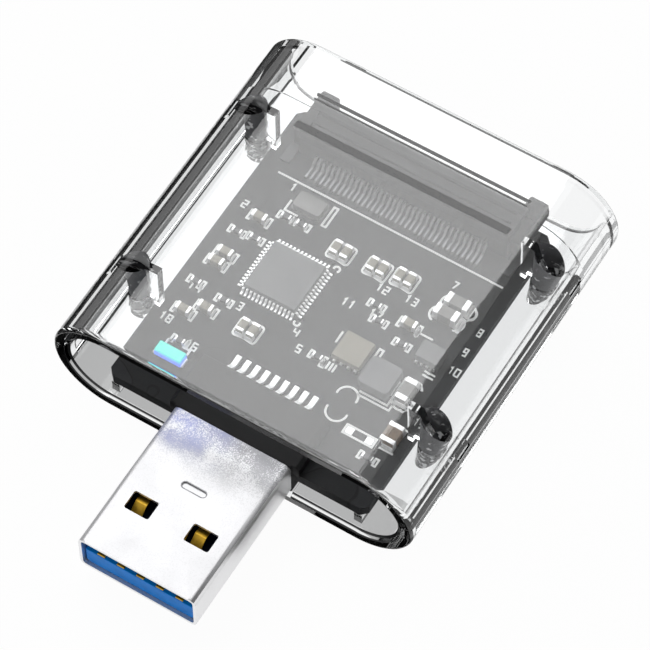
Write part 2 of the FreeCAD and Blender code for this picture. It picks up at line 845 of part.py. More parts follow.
def rounded_component(label, place, length, width, height, corner):
    body = new_body(label)
    base = plan_at(body, board_top)
    back = "(-case_length / 2 + " + place + "_setback)"
    draw_rectangle(base, place + "_x - " + length + " / 2", place + "_x + " + length + " / 2",
                   back + " - " + width + " / 2", back + " + " + width + " / 2")
    pad_up(body, base, height)

    def upright(edge):
        return not near(edge.BoundBox.ZMin, edge.BoundBox.ZMax)

    dress_edges(body, "Fillet", "Radius", corner, upright)
    return body


def single_component(label, place, length, width, height):
    block = on_board(label, place, length, width, height)
    block.Label = label
    return block


def build_passives():
    filters = []
    for place in ("filter_a", "filter_b"):
        filters.append(on_board("filter_capacitor", place, "filter_length", "filter_width", "filter_height"))
    filters.append(on_board("filter_capacitor", "filter_c", "filter_width", "filter_length", "filter_height"))
    ceramics = []
    for place in ("pair_a", "pair_b", "pair_c", "pair_d"):
        for shift in ("capacitor_gap / 2", "-capacitor_gap / 2"):
            ceramics.append(on_board("capacitor", place, "capacitor_width", "capacitor_length",
                                     "capacitor_height", shift))
    for letter in "abcdef":
        ceramics.append(on_board("capacitor", "chip_cap_" + letter, "capacitor_length",
                                 "capacitor_width", "capacitor_height"))
    resistors = []
    for letter in "abcdefghijkl":
        resistors.append(on_board("resistor", "resistor_" + letter, "resistor_length",
                                  "resistor_width", "resistor_height"))
    return [
        add_group("filter_capacitors", filters),
        add_group("ceramic_capacitors", ceramics),
        add_group("chip_resistors", resistors),
    ]


nodes = [build_upper_shell(), build_lower_shell(), build_circuit_board()]
nodes += [build_usb_shell(), build_usb_tongue(), build_usb_rear_block()]
nodes += build_plug_contacts()
nodes.append(build_solder_tails())
nodes.append(build_socket_housing())
nodes += build_socket_contacts()
nodes.append(build_socket_anchors())
nodes += [build_bridge_chip(), build_bridge_leads()]
nodes.append(rounded_component("crystal_can", "crystal", "crystal_length", "crystal_width",
                               "crystal_height", "crystal_round"))
nodes.append(rounded_component("power_inductor", "inductor", "inductor_side", "inductor_side",
                               "inductor_height", "inductor_round"))
nodes.append(single_component("memory_chip", "memory", "memory_length", "memory_width", "memory_height"))
nodes.append(single_component("regulator", "regulator", "regulator_length", "regulator_width",
                              "regulator_height"))
nodes.append(single_component("storage_capacitor", "storage", "storage_width", "storage_length",
                              "storage_height"))
nodes.append(single_component("indicator_light", "light", "light_length", "light_width", "light_height"))
nodes += build_passives()
doc.recompute()

for item in doc.Objects:
    if "Invalid" in item.State or "Error" in item.State:
        raise RuntimeError("failed: " + item.Name)
for node in nodes:
    if node.Shape.isNull() or not node.Shape.isValid():
        raise RuntimeError("bad shape: " + node.Label)

os.makedirs("parts", exist_ok=True)
for node in nodes:
    node.Shape.exportStep("parts/" + node.Label + ".step")
    print(node.Label, len(node.Shape.Solids), round(node.Shape.Volume, 3))
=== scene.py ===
import json
import math

import bmesh
import bpy
from mathutils import Matrix, Vector


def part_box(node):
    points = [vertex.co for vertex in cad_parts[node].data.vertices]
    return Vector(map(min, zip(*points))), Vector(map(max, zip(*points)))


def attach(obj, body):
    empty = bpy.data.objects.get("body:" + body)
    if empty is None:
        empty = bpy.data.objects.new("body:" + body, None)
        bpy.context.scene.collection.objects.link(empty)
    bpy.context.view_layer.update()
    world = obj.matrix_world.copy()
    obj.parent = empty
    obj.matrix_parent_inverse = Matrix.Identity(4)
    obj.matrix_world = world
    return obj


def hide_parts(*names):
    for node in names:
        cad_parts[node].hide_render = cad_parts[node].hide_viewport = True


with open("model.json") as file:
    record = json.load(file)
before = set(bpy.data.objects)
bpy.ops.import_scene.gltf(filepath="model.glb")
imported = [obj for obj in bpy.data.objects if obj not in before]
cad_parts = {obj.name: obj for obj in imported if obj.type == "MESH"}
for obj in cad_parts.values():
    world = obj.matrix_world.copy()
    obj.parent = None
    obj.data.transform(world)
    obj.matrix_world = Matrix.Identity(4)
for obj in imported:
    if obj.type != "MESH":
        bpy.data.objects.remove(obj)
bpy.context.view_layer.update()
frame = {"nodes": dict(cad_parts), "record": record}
nodes = frame["nodes"]
scene = bpy.context.scene
mm = 0.001
print("frame loaded,", len(nodes), "nodes")


class Wire:
    # one socket of a node tree; sums on it add Math nodes
    def __init__(self, graph, socket):
        self.graph = graph
        self.socket = socket

    def calc(self, operation, *values):
        return self.graph.add("ShaderNodeMath", {"operation": operation}, dict(enumerate(values)))

    def __add__(self, other):
        return self.calc("ADD", self, other)

    def __sub__(self, other):
        return self.calc("SUBTRACT", self, other)

    def __rsub__(self, other):
        return self.calc("SUBTRACT", other, self)

    def __mul__(self, other):
        return self.calc("MULTIPLY", self, other)

    def __truediv__(self, other):
        return self.calc("DIVIDE", self, other)

    def __rtruediv__(self, other):
        return self.calc("DIVIDE", other, self)

    def __gt__(self, other):
        return self.calc("GREATER_THAN", self, other)

    def __lt__(self, other):
        return self.calc("LESS_THAN", self, other)

    def __abs__(self):
        return self.calc("ABSOLUTE", self)

    __radd__ = __add__
    __rmul__ = __mul__


class Graph:
    def __init__(self, tree):
        self.tree = tree

    def feed(self, socket, value):
        if isinstance(value, Wire):
            self.tree.links.new(value.socket, socket)
        else:
            socket.default_value = value

    def add(self, kind, settings=None, inputs=None, out=0):
        node = self.tree.nodes.new(kind)
        for key, value in (settings or {}).items():
            setattr(node, key, value)
        for key, value in (inputs or {}).items():
            self.feed(node.inputs[key], value)
        return Wire(self, node.outputs[out] if node.outputs else None)

    def ray(self, kind):
        return self.add("ShaderNodeLightPath", out="Is %s Ray" % kind)


def tone(red, green, blue):
    # a colour picked on screen, 0 to 255, as the linear value that shaders take
    def linear(c):
        return ((c / 255 + 0.055) / 1.055) ** 2.4 if c > 10 else c / 255 / 12.92
    return (linear(red), linear(green), linear(blue), 1.0)


class Look(Graph):
    def __init__(self, name):
        self.material = bpy.data.materials.new(name)
        self.material.use_nodes = True
        super().__init__(self.material.node_tree)
        self.shader = self.tree.nodes["Principled BSDF"]
        self.point = self.add("ShaderNodeTexCoord", out="Object")

    def noise(self, scale, detail=3.0, stretch=None):
        point = self.point
        if stretch:
            point = self.add("ShaderNodeMapping", {}, {"Vector": point, "Scale": stretch})
        return self.add("ShaderNodeTexNoise", {}, {"Vector": point, "Scale": scale, "Detail": detail})

    def cells(self, scale):
        return self.add("ShaderNodeTexVoronoi", {}, {"Vector": self.point, "Scale": scale})

    def axis(self, name, vector=None):
        return self.add("ShaderNodeSeparateXYZ", {}, {0: vector or self.point}, out=name)

    def ramp(self, value, low, high):
        # 0 below low, 1 above high
        ends = {"Value": value, "From Min": low, "From Max": high}
        return self.add("ShaderNodeMapRange", {"clamp": True}, ends)

    def bump(self, height, depth):
        return self.add("ShaderNodeBump", {}, {"Height": height, "Distance": depth * mm, "Strength": 1.0})

    def blend(self, share, first, second):
        return self.add("ShaderNodeMix", {"data_type": "RGBA"}, {0: share, 6: first, 7: second}, out=2)

    def fade(self, value, low, high, first, second):
        # the first colour below low, the second above high
        return self.blend(self.ramp(value, low, high), first, second)

    def surface(self, **values):
        for key, value in values.items():
            self.feed(self.shader.inputs[key.replace("_", " ")], value)
        return self.material

    def own(self):
        return Wire(self, self.shader.outputs[0])

    def clear(self, colour=(1, 1, 1, 1)):
        return self.add("ShaderNodeBsdfTransparent", {}, {"Color": colour})

    def output(self, share, first, second):
        # shows the first shader where share is 0 and the second where it is 1
        mixed = self.add("ShaderNodeMixShader", {}, {0: share, 1: first, 2: second})
        self.feed(self.tree.nodes["Material Output"].inputs["Surface"], mixed)
        return self.material


# sizes are in mm, here and below; round and chamfer give the solid's size and then the drawn one
caseShells = {"gap": 0.06, "parting": 6.7, "rimReach": 0.1, "lap": (17.45, 17.65), "collar": 10.0,
              "posts": ((15.2, -9.3), (15.2, 10.3)), "pinReach": 1.0, "postReach": 1.3,
              "pinSpan": (2.1, 5.3), "postSpan": (5.3, 9.9), "square": 0.99, "lipSlope": (-0.8, -0.6),
              "round": (0.8, 0.44), "chamfer": (0.6, 0.45), "wall": 1.6, "slack": 0.01}
caseLow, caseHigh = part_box("lower_shell")
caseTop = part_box("upper_shell")[1].z
caseRadius = caseTop / 2
caseStraight = caseHigh.x - caseRadius
clearCase = {"ior": 1.52, "roughness": 0.004, "haze": 0.01, "tint": (0.975, 0.982, 0.985, 1.0),
             "passing": (0.95, 0.955, 0.96, 1.0)}


def makeClearPlastic():
    look = Look("clear_plastic")
    haze = look.ramp(look.noise(900), 0.45, 0.7)
    look.surface(Base_Color=clearCase["tint"], IOR=clearCase["ior"], Transmission_Weight=1.0,
                 Roughness=haze * clearCase["haze"] + clearCase["roughness"])
    # lamps and soft light reach what is inside without bending
    unbent = look.ray("Shadow") + look.ray("Diffuse")
    return look.output(unbent, look.own(), look.clear(clearCase["passing"]))


# colours of the painted shade and glints in the clear case's posts, pins, left joint and lower lip, and of
# the joints' dust
caseJoints = {"post": tone(108, 108, 110), "postSpeck": tone(235, 235, 235), "postShare": 0.8,
              "postTint": (0.9, 0.9, 0.9, 1), "pinShade": tone(44, 44, 46), "pinSpeck": tone(240, 240, 240),
              "paintedShade": tone(12, 12, 13), "shadeFrom": 5.5, "shadeFade": 0.1, "dustShare": 0.15,
              "rimShade": tone(8, 8, 9), "rimShadePale": tone(20, 20, 22), "rimEdge": (0.36, 0.46)}


def makePostSkin():
    # painted shade and glints: the clear posts are drawn grey, with pale specks standing in for their glints
    look = Look("post_skin")
    cloud = look.ramp(look.noise(900, 2.0), 0.3, 0.7)
    colour = look.fade(look.noise(1300, 2.0), 0.62, 0.67, caseJoints["post"], caseJoints["postSpeck"])
    look.surface(Base_Color=colour, Roughness=0.5, Specular_IOR_Level=0.1)
    share = caseJoints["postShare"] + cloud * (1 - caseJoints["postShare"])
    return look.output(share, look.clear(caseJoints["postTint"]), look.own())


def makePinJoint():
    # painted shade: the pressed pins are drawn dark from above, with pale specks
    look = Look("pin_joint")
    colour = look.fade(look.noise(1900, 2.0), 0.55, 0.6, caseJoints["pinShade"], caseJoints["pinSpeck"])
    return look.surface(Base_Color=colour, Roughness=0.7, Specular_IOR_Level=0.1)


def makePressedJoint(name, paintedShade, dusty):
    # plastic pressed on plastic: clear, or with painted shade in its upper half, with dust here and there
    look = Look(name)
    dust = look.ramp(look.noise(2200), 0.6, 0.9)
    level = caseJoints["shadeFrom"] * mm
    high = look.ramp(look.axis("Z"), level, level + caseJoints["shadeFade"] * mm)
    look.surface(Base_Color=look.blend(dust, caseJoints["paintedShade"], dusty), Roughness=0.6)
    return look.output(high * paintedShade + dust * caseJoints["dustShare"], look.clear(), look.own())


def makeRimLine():
    # painted shade: the chamfer of the lower lip is drawn black along both of its edges, standing in for
    # their total reflection, and clear between them
    look = Look("rim_shade")
    inset = look.axis("Y") - caseLow.y
    middle = caseShells["chamfer"][1] / 2 * mm
    start, full = caseJoints["rimEdge"]
    edges = look.ramp(abs(inset - middle), middle * start, middle * full)
    colour = look.blend(look.noise(1800), caseJoints["rimShade"], caseJoints["rimShadePale"])
    look.surface(Base_Color=colour, Roughness=0.3)
    return look.output(edges, look.clear(), look.own())


boardFace = {"pourScale": 170.0, "pourBands": 5.0, "pourLine": 0.035, "weaveScale": 5200.0,
             "bare": tone(24, 25, 26), "copper": tone(33, 34, 36), "weave": tone(14, 14, 15),
             "line": tone(6, 6, 7), "ink": tone(246, 247, 245), "wornInk": tone(222, 223, 221)}


def makeBoardLacquer():
    look = Look("board_lacquer")
    pour = look.noise(boardFace["pourScale"], 1.5)
    bands = pour * boardFace["pourBands"]
    # lines where the copper under the lacquer ends
    edge = abs(bands.calc("FRACT", bands) - 0.5) < boardFace["pourLine"]
    copper = look.ramp(pour, 0.5, 0.52)
    weave = look.noise(boardFace["weaveScale"], 2.0)
    colour = look.blend(copper, boardFace["bare"], boardFace["copper"])
    colour = look.blend(weave * 0.35, colour, boardFace["weave"])
    colour = look.blend(edge * 0.8, colour, boardFace["line"])
    return look.surface(Base_Color=colour, Roughness=0.5 + weave * 0.2, Specular_IOR_Level=0.16,
                        Normal=look.bump(copper * 0.6 + weave * 0.4, 0.012))


def makeBoardInk():
    look = Look("board_ink")
    wear = look.noise(2600)
    colour = look.fade(wear, 0.52, 0.75, boardFace["ink"], boardFace["wornInk"])
    return look.surface(Base_Color=colour, Roughness=0.6, Normal=look.bump(wear, 0.006))


plugFace = {"grainScale": 9000.0, "cloudScale": 420.0, "shadowReach": 5.2, "glowReach": 4.2, "glowStop": 0.8,
            "glowSide": (2.0, 1.5), "steel": (0.52, 0.52, 0.53, 1), "grain": (0.3, 0.3, 0.31, 1),
            "shadow": (0.12, 0.12, 0.13, 1), "side": (0.86, 0.86, 0.87, 1), "glow": (0.2, 0.23, 0.47, 1)}


def makePlugSteel():
    look = Look("plug_steel")
    left, right = (corner.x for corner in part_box("usb_shell"))
    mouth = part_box("upper_shell")[0].y
    grain = look.noise(plugFace["grainScale"], 2.0)
    cloud = look.noise(plugFace["cloudScale"])
    # darker and speckled towards the case
    near = look.ramp(look.axis("Y"), mouth - plugFace["shadowReach"] * mm, mouth)
    speckle = look.ramp(grain + cloud * 0.8, 0.72, 1.05)
    shade = near * look.ramp(speckle + near * 0.55, 0.35, 1.1)
    steel = look.blend(look.ramp(grain, 0.52, 0.7) * 0.22, plugFace["steel"], plugFace["grain"])
    steel = look.blend(shade * 0.8, steel, plugFace["shadow"])
    # painted reflection: the sides are drawn brighter, for the bright floor they mirror
    upward = look.axis("Z", look.add("ShaderNodeNewGeometry", out="Normal"))
    steel = look.fade(abs(upward), 0.8, 0.5, steel, plugFace["side"])
    # painted light: the indicator's blue glow on the steel at the left corner
    start, stop = (reach * mm for reach in plugFace["glowSide"])
    side = 1 - look.ramp(look.axis("X"), left + start, (left + right) / 2 + stop)
    reach, inset = plugFace["glowReach"] * mm, plugFace["glowStop"] * mm
    blue = look.ramp(look.axis("Y"), mouth - reach, mouth - inset) * side
    steel = look.blend(blue * look.ramp(cloud + grain * 0.5, 0.55, 1.0), steel, plugFace["glow"])
    return look.surface(Base_Color=steel, Metallic=1.0, Roughness=0.36 + cloud * 0.1,
                        Normal=look.bump(grain, 0.004))


tongueFace = {"light": tone(0, 138, 236), "dark": tone(0, 126, 220), "deep": tone(10, 14, 34),
              "deepSpan": (1.2, 3.2)}


def makeTonguePlastic():
    look = Look("tongue_plastic")
    colour = look.fade(look.noise(1100), 0.4, 0.7, tongueFace["light"], tongueFace["dark"])
    # dark further in, where only the windows let light down
    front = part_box("usb_tongue")[0].y
    start, full = (front + depth * mm for depth in tongueFace["deepSpan"])
    colour = look.fade(look.axis("Y"), start, full, colour, tongueFace["deep"])
    return look.surface(Base_Color=colour, Roughness=0.42, Specular_IOR_Level=0.14,
                        Normal=look.bump(look.noise(6000, 2.0), 0.004))


def makeBlackPlastic(light, dark):
    look = Look("black_plastic")
    skin = look.noise(5200, 2.0)
    flow = look.noise(300, 2.0, stretch=(0.3, 1.0, 1.0))
    return look.surface(Base_Color=look.fade(flow, 0.4, 0.65, dark, light), Roughness=0.5 + skin * 0.15,
                        Specular_IOR_Level=0.16, Normal=look.bump(skin, 0.008))


def makeGoldPlate(light, dark):
    look = Look("gold_plate")
    brushed = look.noise(2400, 2.0, stretch=(1.0, 0.08, 1.0))
    colour = look.fade(look.noise(1500), 0.45, 0.7, light, dark)
    return look.surface(Base_Color=colour, Metallic=1.0, Roughness=0.28 + brushed * 0.16,
                        Normal=look.bump(brushed, 0.003))


def makeTinnedMetal(name, light, dark, metal=0.85):
    look = Look(name)
    flow = look.noise(1700)
    return look.surface(Base_Color=look.fade(flow, 0.42, 0.7, light, dark), Metallic=metal,
                        Roughness=0.42 + flow * 0.12, Normal=look.bump(flow, 0.01))


def makeMoulded(name, light, dark, speck, speckShare):
    # filled resin or ferrite: fine specks on a slightly clouded ground
    look = Look(name)
    cloud = look.noise(500)
    specks = look.ramp(look.cells(4200), 0.25, 0.1)
    colour = look.blend(specks * speckShare, look.fade(cloud, 0.35, 0.7, light, dark), speck)
    return look.surface(Base_Color=colour, Roughness=0.48 + cloud * 0.1,
                        Normal=look.bump(look.noise(6000, 2.0), 0.006))


def makeCanSteel(light, dark):
    look = Look("can_steel")
    brushed = look.noise(900, 3.0, stretch=(0.06, 1.0, 1.0))
    return look.surface(Base_Color=look.fade(brushed, 0.4, 0.65, light, dark), Metallic=0.35,
                        Roughness=0.4 + brushed * 0.15, Normal=look.bump(brushed, 0.004))


def makeCeramic(name, light, dark):
    look = Look(name)
    grain = look.noise(3800)
    return look.surface(Base_Color=look.fade(grain, 0.35, 0.68, light, dark), Roughness=0.45,
                        Normal=look.bump(grain, 0.008))


indicatorGlow = {"lens": (0.0, 0.66, 0.53, 1.0), "foot": (0.08, 0.14, 0.9, 1.0),
                 "cloud": (0.1, 0.8, 0.75, 1), "unlit": (0.02, 0.05, 0.06, 1), "level": 1.0,
                 "footShare": 0.55, "rim": 0.05}


def makeLightResin():
    look = Look("light_resin")
    low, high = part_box("indicator_light")
    waist = low.z + (high.z - low.z) * indicatorGlow["footShare"]
    cloud = look.noise(2400)
    glow = look.fade(look.axis("Z"), waist, high.z - indicatorGlow["rim"] * mm,
                     indicatorGlow["foot"], indicatorGlow["lens"])
    glow = look.blend(look.ramp(cloud, 0.4, 0.75) * 0.25, glow, indicatorGlow["cloud"])
    return look.surface(Base_Color=indicatorGlow["unlit"], Roughness=0.3, Emission_Color=glow,
                        Emission_Strength=indicatorGlow["level"], Normal=look.bump(cloud, 0.004))


finishes = {
    "clear_plastic": makeClearPlastic(),
    "board_lacquer": makeBoardLacquer(),
    "plug_steel": makePlugSteel(),
    "tongue_plastic": makeTonguePlastic(),
    "black_plastic": makeBlackPlastic(tone(17, 17, 19), tone(10, 10, 11)),
    "gold_plate": makeGoldPlate((0.56, 0.34, 0.04, 1), (0.4, 0.23, 0.02, 1)),
    "tinned_metal": makeTinnedMetal("tinned_metal", (0.9, 0.9, 0.9, 1), (0.74, 0.74, 0.75, 1)),
    "chip_resin": makeMoulded("chip_resin", tone(92, 92, 93), tone(84, 84, 86), tone(110, 110, 110), 0.25),
    "can_steel": makeCanSteel(tone(106, 105, 103), tone(90, 89, 88)),
    "inductor_ferrite": makeMoulded("inductor_ferrite", tone(100, 100, 102), tone(90, 90, 93),
                                    tone(70, 70, 72), 0.4),
    "pale_ceramic": makeCeramic("pale_ceramic", tone(128, 122, 104), tone(108, 102, 88)),
    "brown_ceramic": makeCeramic("brown_ceramic", tone(120, 98, 74), tone(92, 74, 56)),
    "grey_ceramic": makeCeramic("grey_ceramic", tone(104, 102, 98), tone(88, 86, 84)),
    "light_resin": makeLightResin(),
    "resistor_glaze": makeMoulded("resistor_glaze", tone(36, 36, 40), tone(26, 26, 30),
                                  tone(60, 60, 66), 0.3),
}
inkFinish = makeBoardInk()
shadedJointFinish = makePressedJoint("shaded_joint", 1.0, tone(40, 40, 42))
pressedFinish = makePressedJoint("pressed_joint", 0.0, tone(150, 150, 150))
pinFinish = makePinJoint()
postFinish = makePostSkin()
rimShadeFinish = makeRimLine()
leadFinish = makeTinnedMetal("lead_tin", (0.97, 0.97, 0.97, 1), (0.9, 0.9, 0.9, 1), 0.4)
dullTinAndShadeFinish = makeTinnedMetal("dull_tin_and_shade", (0.26, 0.26, 0.27, 1), (0.18, 0.18, 0.19, 1))
# painted shade for the socket's tabs, which lie in shade
shadedTinFinish = makeTinnedMetal("shaded_tin", (0.035, 0.035, 0.037, 1), (0.025, 0.025, 0.026, 1))
slotOf = {s["node"]: s["material_slot"] for s in frame["record"]["subparts"]}
for name, piece in nodes.items():
    piece.data.materials.clear()
    piece.data.materials.append(finishes[slotOf[name]])
print("finishes done")

meshing = {"merge": 0.002, "flatAngle": 1.0, "mitre": 0.35, "roundAngle": 32.0, "smoothAngle": 40.0}


def mergedCopy(node):
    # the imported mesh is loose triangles
    rough = bmesh.new()
    rough.from_mesh(nodes[node].data)
    bmesh.ops.remove_doubles(rough, verts=rough.verts, dist=meshing["merge"] * mm)
    return rough


def roughCopy(node):
    # whole faces, ready for rounding
    rough = mergedCopy(node)
    angle = math.radians(meshing["flatAngle"])
    bmesh.ops.dissolve_limit(rough, angle_limit=angle, verts=rough.verts, edges=rough.edges)
    return rough


def solidBoxes(node):
    # the box of each loose solid of a node, in order along X and then Y
    rough = mergedCopy(node)
    waiting = set(rough.verts)
    boxes = []
    while waiting:
        group = [waiting.pop()]
        for vertex in group:
            for edge in vertex.link_edges:
                other = edge.other_vert(vertex)
                if other in waiting:
                    waiting.remove(other)
                    group.append(other)
        low = Vector([min(vertex.co[i] for vertex in group) for i in range(3)])
        high = Vector([max(vertex.co[i] for vertex in group) for i in range(3)])
        boxes.append((low, high))
    rough.free()
    return sorted(boxes, key=lambda box: (round(box[0].x, 5), round(box[0].y, 5)))


def addBlock(rough, low, high, taper=0.0):
    # a box whose top is drawn in by taper on every side
    rings = []
    for z, inset in ((low[2], 0.0), (high[2], taper)):
        left, right = low[0] + inset, high[0] - inset
        front, back = low[1] + inset, high[1] - inset
        corners = ((left, front), (right, front), (right, back), (left, back))
        rings.append([rough.verts.new((x, y, z)) for x, y in corners])
    bottom, top = rings
    rough.faces.new(list(reversed(bottom)))
    rough.faces.new(top)
    for i in range(4):
        j = (i + 1) % 4
        rough.faces.new((bottom[i], bottom[j], top[j], top[i]))


def flatLay(a, b, c):
    return (a, b, c)


def sideLay(a, b, c):
    return (c, a, b)


def addRibbon(rough, points, width, low, high, lay=flatLay, closed=False):
    # a strip of even width along a path, drawn in one plane and thickened from low to high
    path = [Vector(point) for point in points]
    count = len(path)
    left, right = [], []
    for i, here in enumerate(path):
        before = path[i - 1] if i or closed else None
        after = path[(i + 1) % count] if i < count - 1 or closed else None
        into = (here - before).normalized() if before is not None else (after - here).normalized()
        away = (after - here).normalized() if after is not None else into
        along = (into + away).normalized()
        across = Vector((-along.y, along.x))
        reach = width / 2 / max(meshing["mitre"], across.dot(Vector((-into.y, into.x))))
        left.append(here + across * reach)
        right.append(here - across * reach)
    levels = []
    for c in (low, high):
        levels.append([[rough.verts.new(lay(p.x, p.y, c)) for p in edge] for edge in (left, right)])
    (lowLeft, lowRight), (highLeft, highRight) = levels
    for i in range(count if closed else count - 1):
        j = (i + 1) % count
        rough.faces.new((highRight[i], highRight[j], highLeft[j], highLeft[i]))
        rough.faces.new((lowLeft[i], lowLeft[j], lowRight[j], lowRight[i]))
        rough.faces.new((highLeft[i], highLeft[j], lowLeft[j], lowLeft[i]))
        rough.faces.new((lowRight[i], lowRight[j], highRight[j], highRight[i]))
    if not closed:
        for i in (0, -1):
            rough.faces.new((lowLeft[i], lowRight[i], highRight[i], highLeft[i]))


def arc(centre, radius, start, end, count=9):
    steps = [math.radians(start + (end - start) * i / (count - 1)) for i in range(count)]
    return [(centre[0] + radius * math.cos(a), centre[1] + radius * math.sin(a)) for a in steps]


def roundedLoop(left, right, front, back, corner):
    loop = []
    for x, y, start in ((right - corner, back - corner, 0), (left + corner, back - corner, 90),
                        (left + corner, front + corner, 180), (right - corner, front + corner, 270)):
        loop += arc((x, y), corner, start, start + 90, 4)
    return loop


def plainMesh(piece):
    # what the modifiers make, as a mesh of its own
    depsgraph = bpy.context.evaluated_depsgraph_get()
    mesh = bpy.data.meshes.new_from_object(piece.evaluated_get(depsgraph))
    piece.modifiers.clear()
    piece.data = mesh


def smoothShade(piece, angle):
    # flat faces stay flat right up to their rounded edges
    piece.data.polygons.foreach_set("use_smooth", [True] * len(piece.data.polygons))
    piece.data.set_sharp_from_angle(angle=math.radians(angle))
    modifier = piece.modifiers.new("shading", "WEIGHTED_NORMAL")
    modifier.keep_sharp = True
    plainMesh(piece)


def roundEdges(piece, width, segments):
    modifier = piece.modifiers.new("edges", "BEVEL")
    modifier.width = width
    modifier.segments = segments
    modifier.limit_method = "ANGLE"
    modifier.angle_limit = math.radians(meshing["roundAngle"])
    plainMesh(piece)


def newObject(label, rough):
    bmesh.ops.recalc_face_normals(rough, faces=rough.faces)
    mesh = bpy.data.meshes.new(label)
    rough.to_mesh(mesh)
    rough.free()
    piece = bpy.data.objects.new(label, mesh)
    scene.collection.objects.link(piece)
    return piece


def dress(piece, finish, node=None):
    piece.data.materials.clear()
    piece.data.materials.append(finish)
    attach(piece, "root")
    if node:
        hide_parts(node)


def makePiece(label, rough, slot, node=None, edge=0.0, segments=2, smooth=meshing["smoothAngle"],
              finish=None):
    piece = newObject(label, rough)
    if edge:
        roundEdges(piece, edge * mm, segments)
    smoothShade(piece, smooth)
    dress(piece, finish or finishes[slot], node)


def makeRowTree():
    # repeats a shape along a line, then turns the line about a centre
    tree = bpy.data.node_groups.new("row", "GeometryNodeTree")
    for name, kind in (("Shape", "Geometry"), ("Count", "Int"), ("First", "Vector"), ("Step", "Vector"),
                       ("Turns", "Int"), ("Centre", "Vector"), ("Finish", "Material")):
        tree.interface.new_socket(name, in_out="INPUT", socket_type="NodeSocket" + kind)
    tree.interface.new_socket("Row", in_out="OUTPUT", socket_type="NodeSocketGeometry")
    graph = Graph(tree)
    sockets = tree.nodes.new("NodeGroupInput").outputs

    def given(name):
        return Wire(graph, sockets[name])

    line = graph.add("GeometryNodeMeshLine", {"mode": "OFFSET"},
                     {"Count": given("Count"), "Start Location": given("First"), "Offset": given("Step")})
    row = graph.add("GeometryNodeInstanceOnPoints", {}, {"Points": line, "Instance": given("Shape")})
    row = graph.add("GeometryNodeRealizeInstances", {}, {0: row})
    hub = graph.add("GeometryNodeMeshLine", {"mode": "OFFSET"},
                    {"Count": given("Turns"), "Start Location": given("Centre"), "Offset": (0, 0, 0)})
    angle = graph.add("GeometryNodeInputIndex") * (2 * math.pi) / given("Turns")
    euler = graph.add("ShaderNodeCombineXYZ", {}, {"Z": angle})
    turn = graph.add("FunctionNodeEulerToRotation", {}, {0: euler})
    whole = graph.add("GeometryNodeInstanceOnPoints", {}, {"Points": hub, "Instance": row, "Rotation": turn})
    whole = graph.add("GeometryNodeRealizeInstances", {}, {0: whole})
    whole = graph.add("GeometryNodeSetMaterial", {}, {"Geometry": whole, "Material": given("Finish")})
    graph.add("NodeGroupOutput", {}, {"Row": whole})
    return tree


rowTree = makeRowTree()


def makeRow(label, rough, slot, node, count, first, step, turns=1, centre=(0, 0, 0), finish=None):
    piece = newObject(label, rough)
    finish = finish or finishes[slot]
    modifier = piece.modifiers.new("row", "NODES")
    modifier.node_group = rowTree
    wanted = {"Count": count, "First": first, "Step": step, "Turns": turns, "Centre": centre,
              "Finish": finish}
    for item in rowTree.interface.items_tree:
        if item.name in wanted:
            modifier[item.identifier] = wanted[item.name]
    plainMesh(piece)
    smoothShade(piece, meshing["smoothAngle"])
    dress(piece, finish, node)


def corePoint(x, y):
    # the nearest point of the flat core that the case's round sides are drawn about
    return Vector((math.copysign(min(abs(x), caseStraight), x), y, caseRadius))


def isInner(face):
    # faces the middle of the case
    return face.normal.dot(corePoint(face.center.x, face.center.y) - face.center) > 0


def jointKind(face):
    # the place of a face's finish on its shell: 0 for open faces, 1 in the left joint, 2 between the pins
    # and their bosses, 3 round the posts, 4 on the chamfer of the lower lip, 5 in the right joint
    x, y, z = face.center / mm
    across, along, up = face.normal
    isLevel = abs(up) > caseShells["square"]
    isBelow = z < caseShells["parting"]
    inner, outer = caseShells["lap"]
    inLap = inner < abs(x) < outer and abs(across) > caseShells["square"] and isBelow
    onRim = abs(z - caseShells["parting"]) < caseShells["rimReach"] and isLevel and y > caseShells["collar"]
    if inLap or onRim:
        return 1 if x < 0 else 5
    away = min(math.hypot(abs(x) - a, y - b) for a, b in caseShells["posts"])
    nearPost = away < caseShells["postReach"]
    low, high = caseShells["pinSpan"]
    if low < z < high and (away < caseShells["pinReach"] or (nearPost and isLevel)):
        return 2
    low, high = caseShells["postSpan"]
    if low < z < high and nearPost and abs(up) < 1 - caseShells["square"]:
        return 3
    low, high = caseShells["lipSlope"]
    onLip = low < along < high and isBelow and y * mm < caseLow.y + caseShells["chamfer"][0] * mm
    return 4 if onLip and isInner(face) else 0


def sharpenEnds(mesh):
    # draws the rounded ends and the mouth's chamfer in to their drawn sizes
    wall, slack = caseShells["wall"] * mm, caseShells["slack"] * mm
    wide, narrow = (size * mm for size in caseShells["round"])
    cut, cutDrawn = (size * mm for size in caseShells["chamfer"])
    for vertex in mesh.vertices:
        y = vertex.co.y
        middle = corePoint(vertex.co.x, y)
        outward = vertex.co - middle
        depth = caseRadius - outward.length
        outward.normalize()
        atFront = y - caseLow.y < caseHigh.y - y
        inset = y - caseLow.y if atFront else caseHigh.y - y
        newDepth, newInset = depth, inset
        if depth < wide + slack and inset < wide + slack:
            newDepth, newInset = depth * narrow / wide, inset * narrow / wide
        elif atFront and inset < slack and abs(depth - wall + cut) < slack:
            newDepth = wall - cutDrawn
        elif atFront and abs(inset - cut) < slack and abs(depth - wall) < slack:
            newInset = cutDrawn
        place = middle + outward * (caseRadius - newDepth)
        place.y = caseLow.y + newInset if atFront else caseHigh.y - newInset
        vertex.co = place


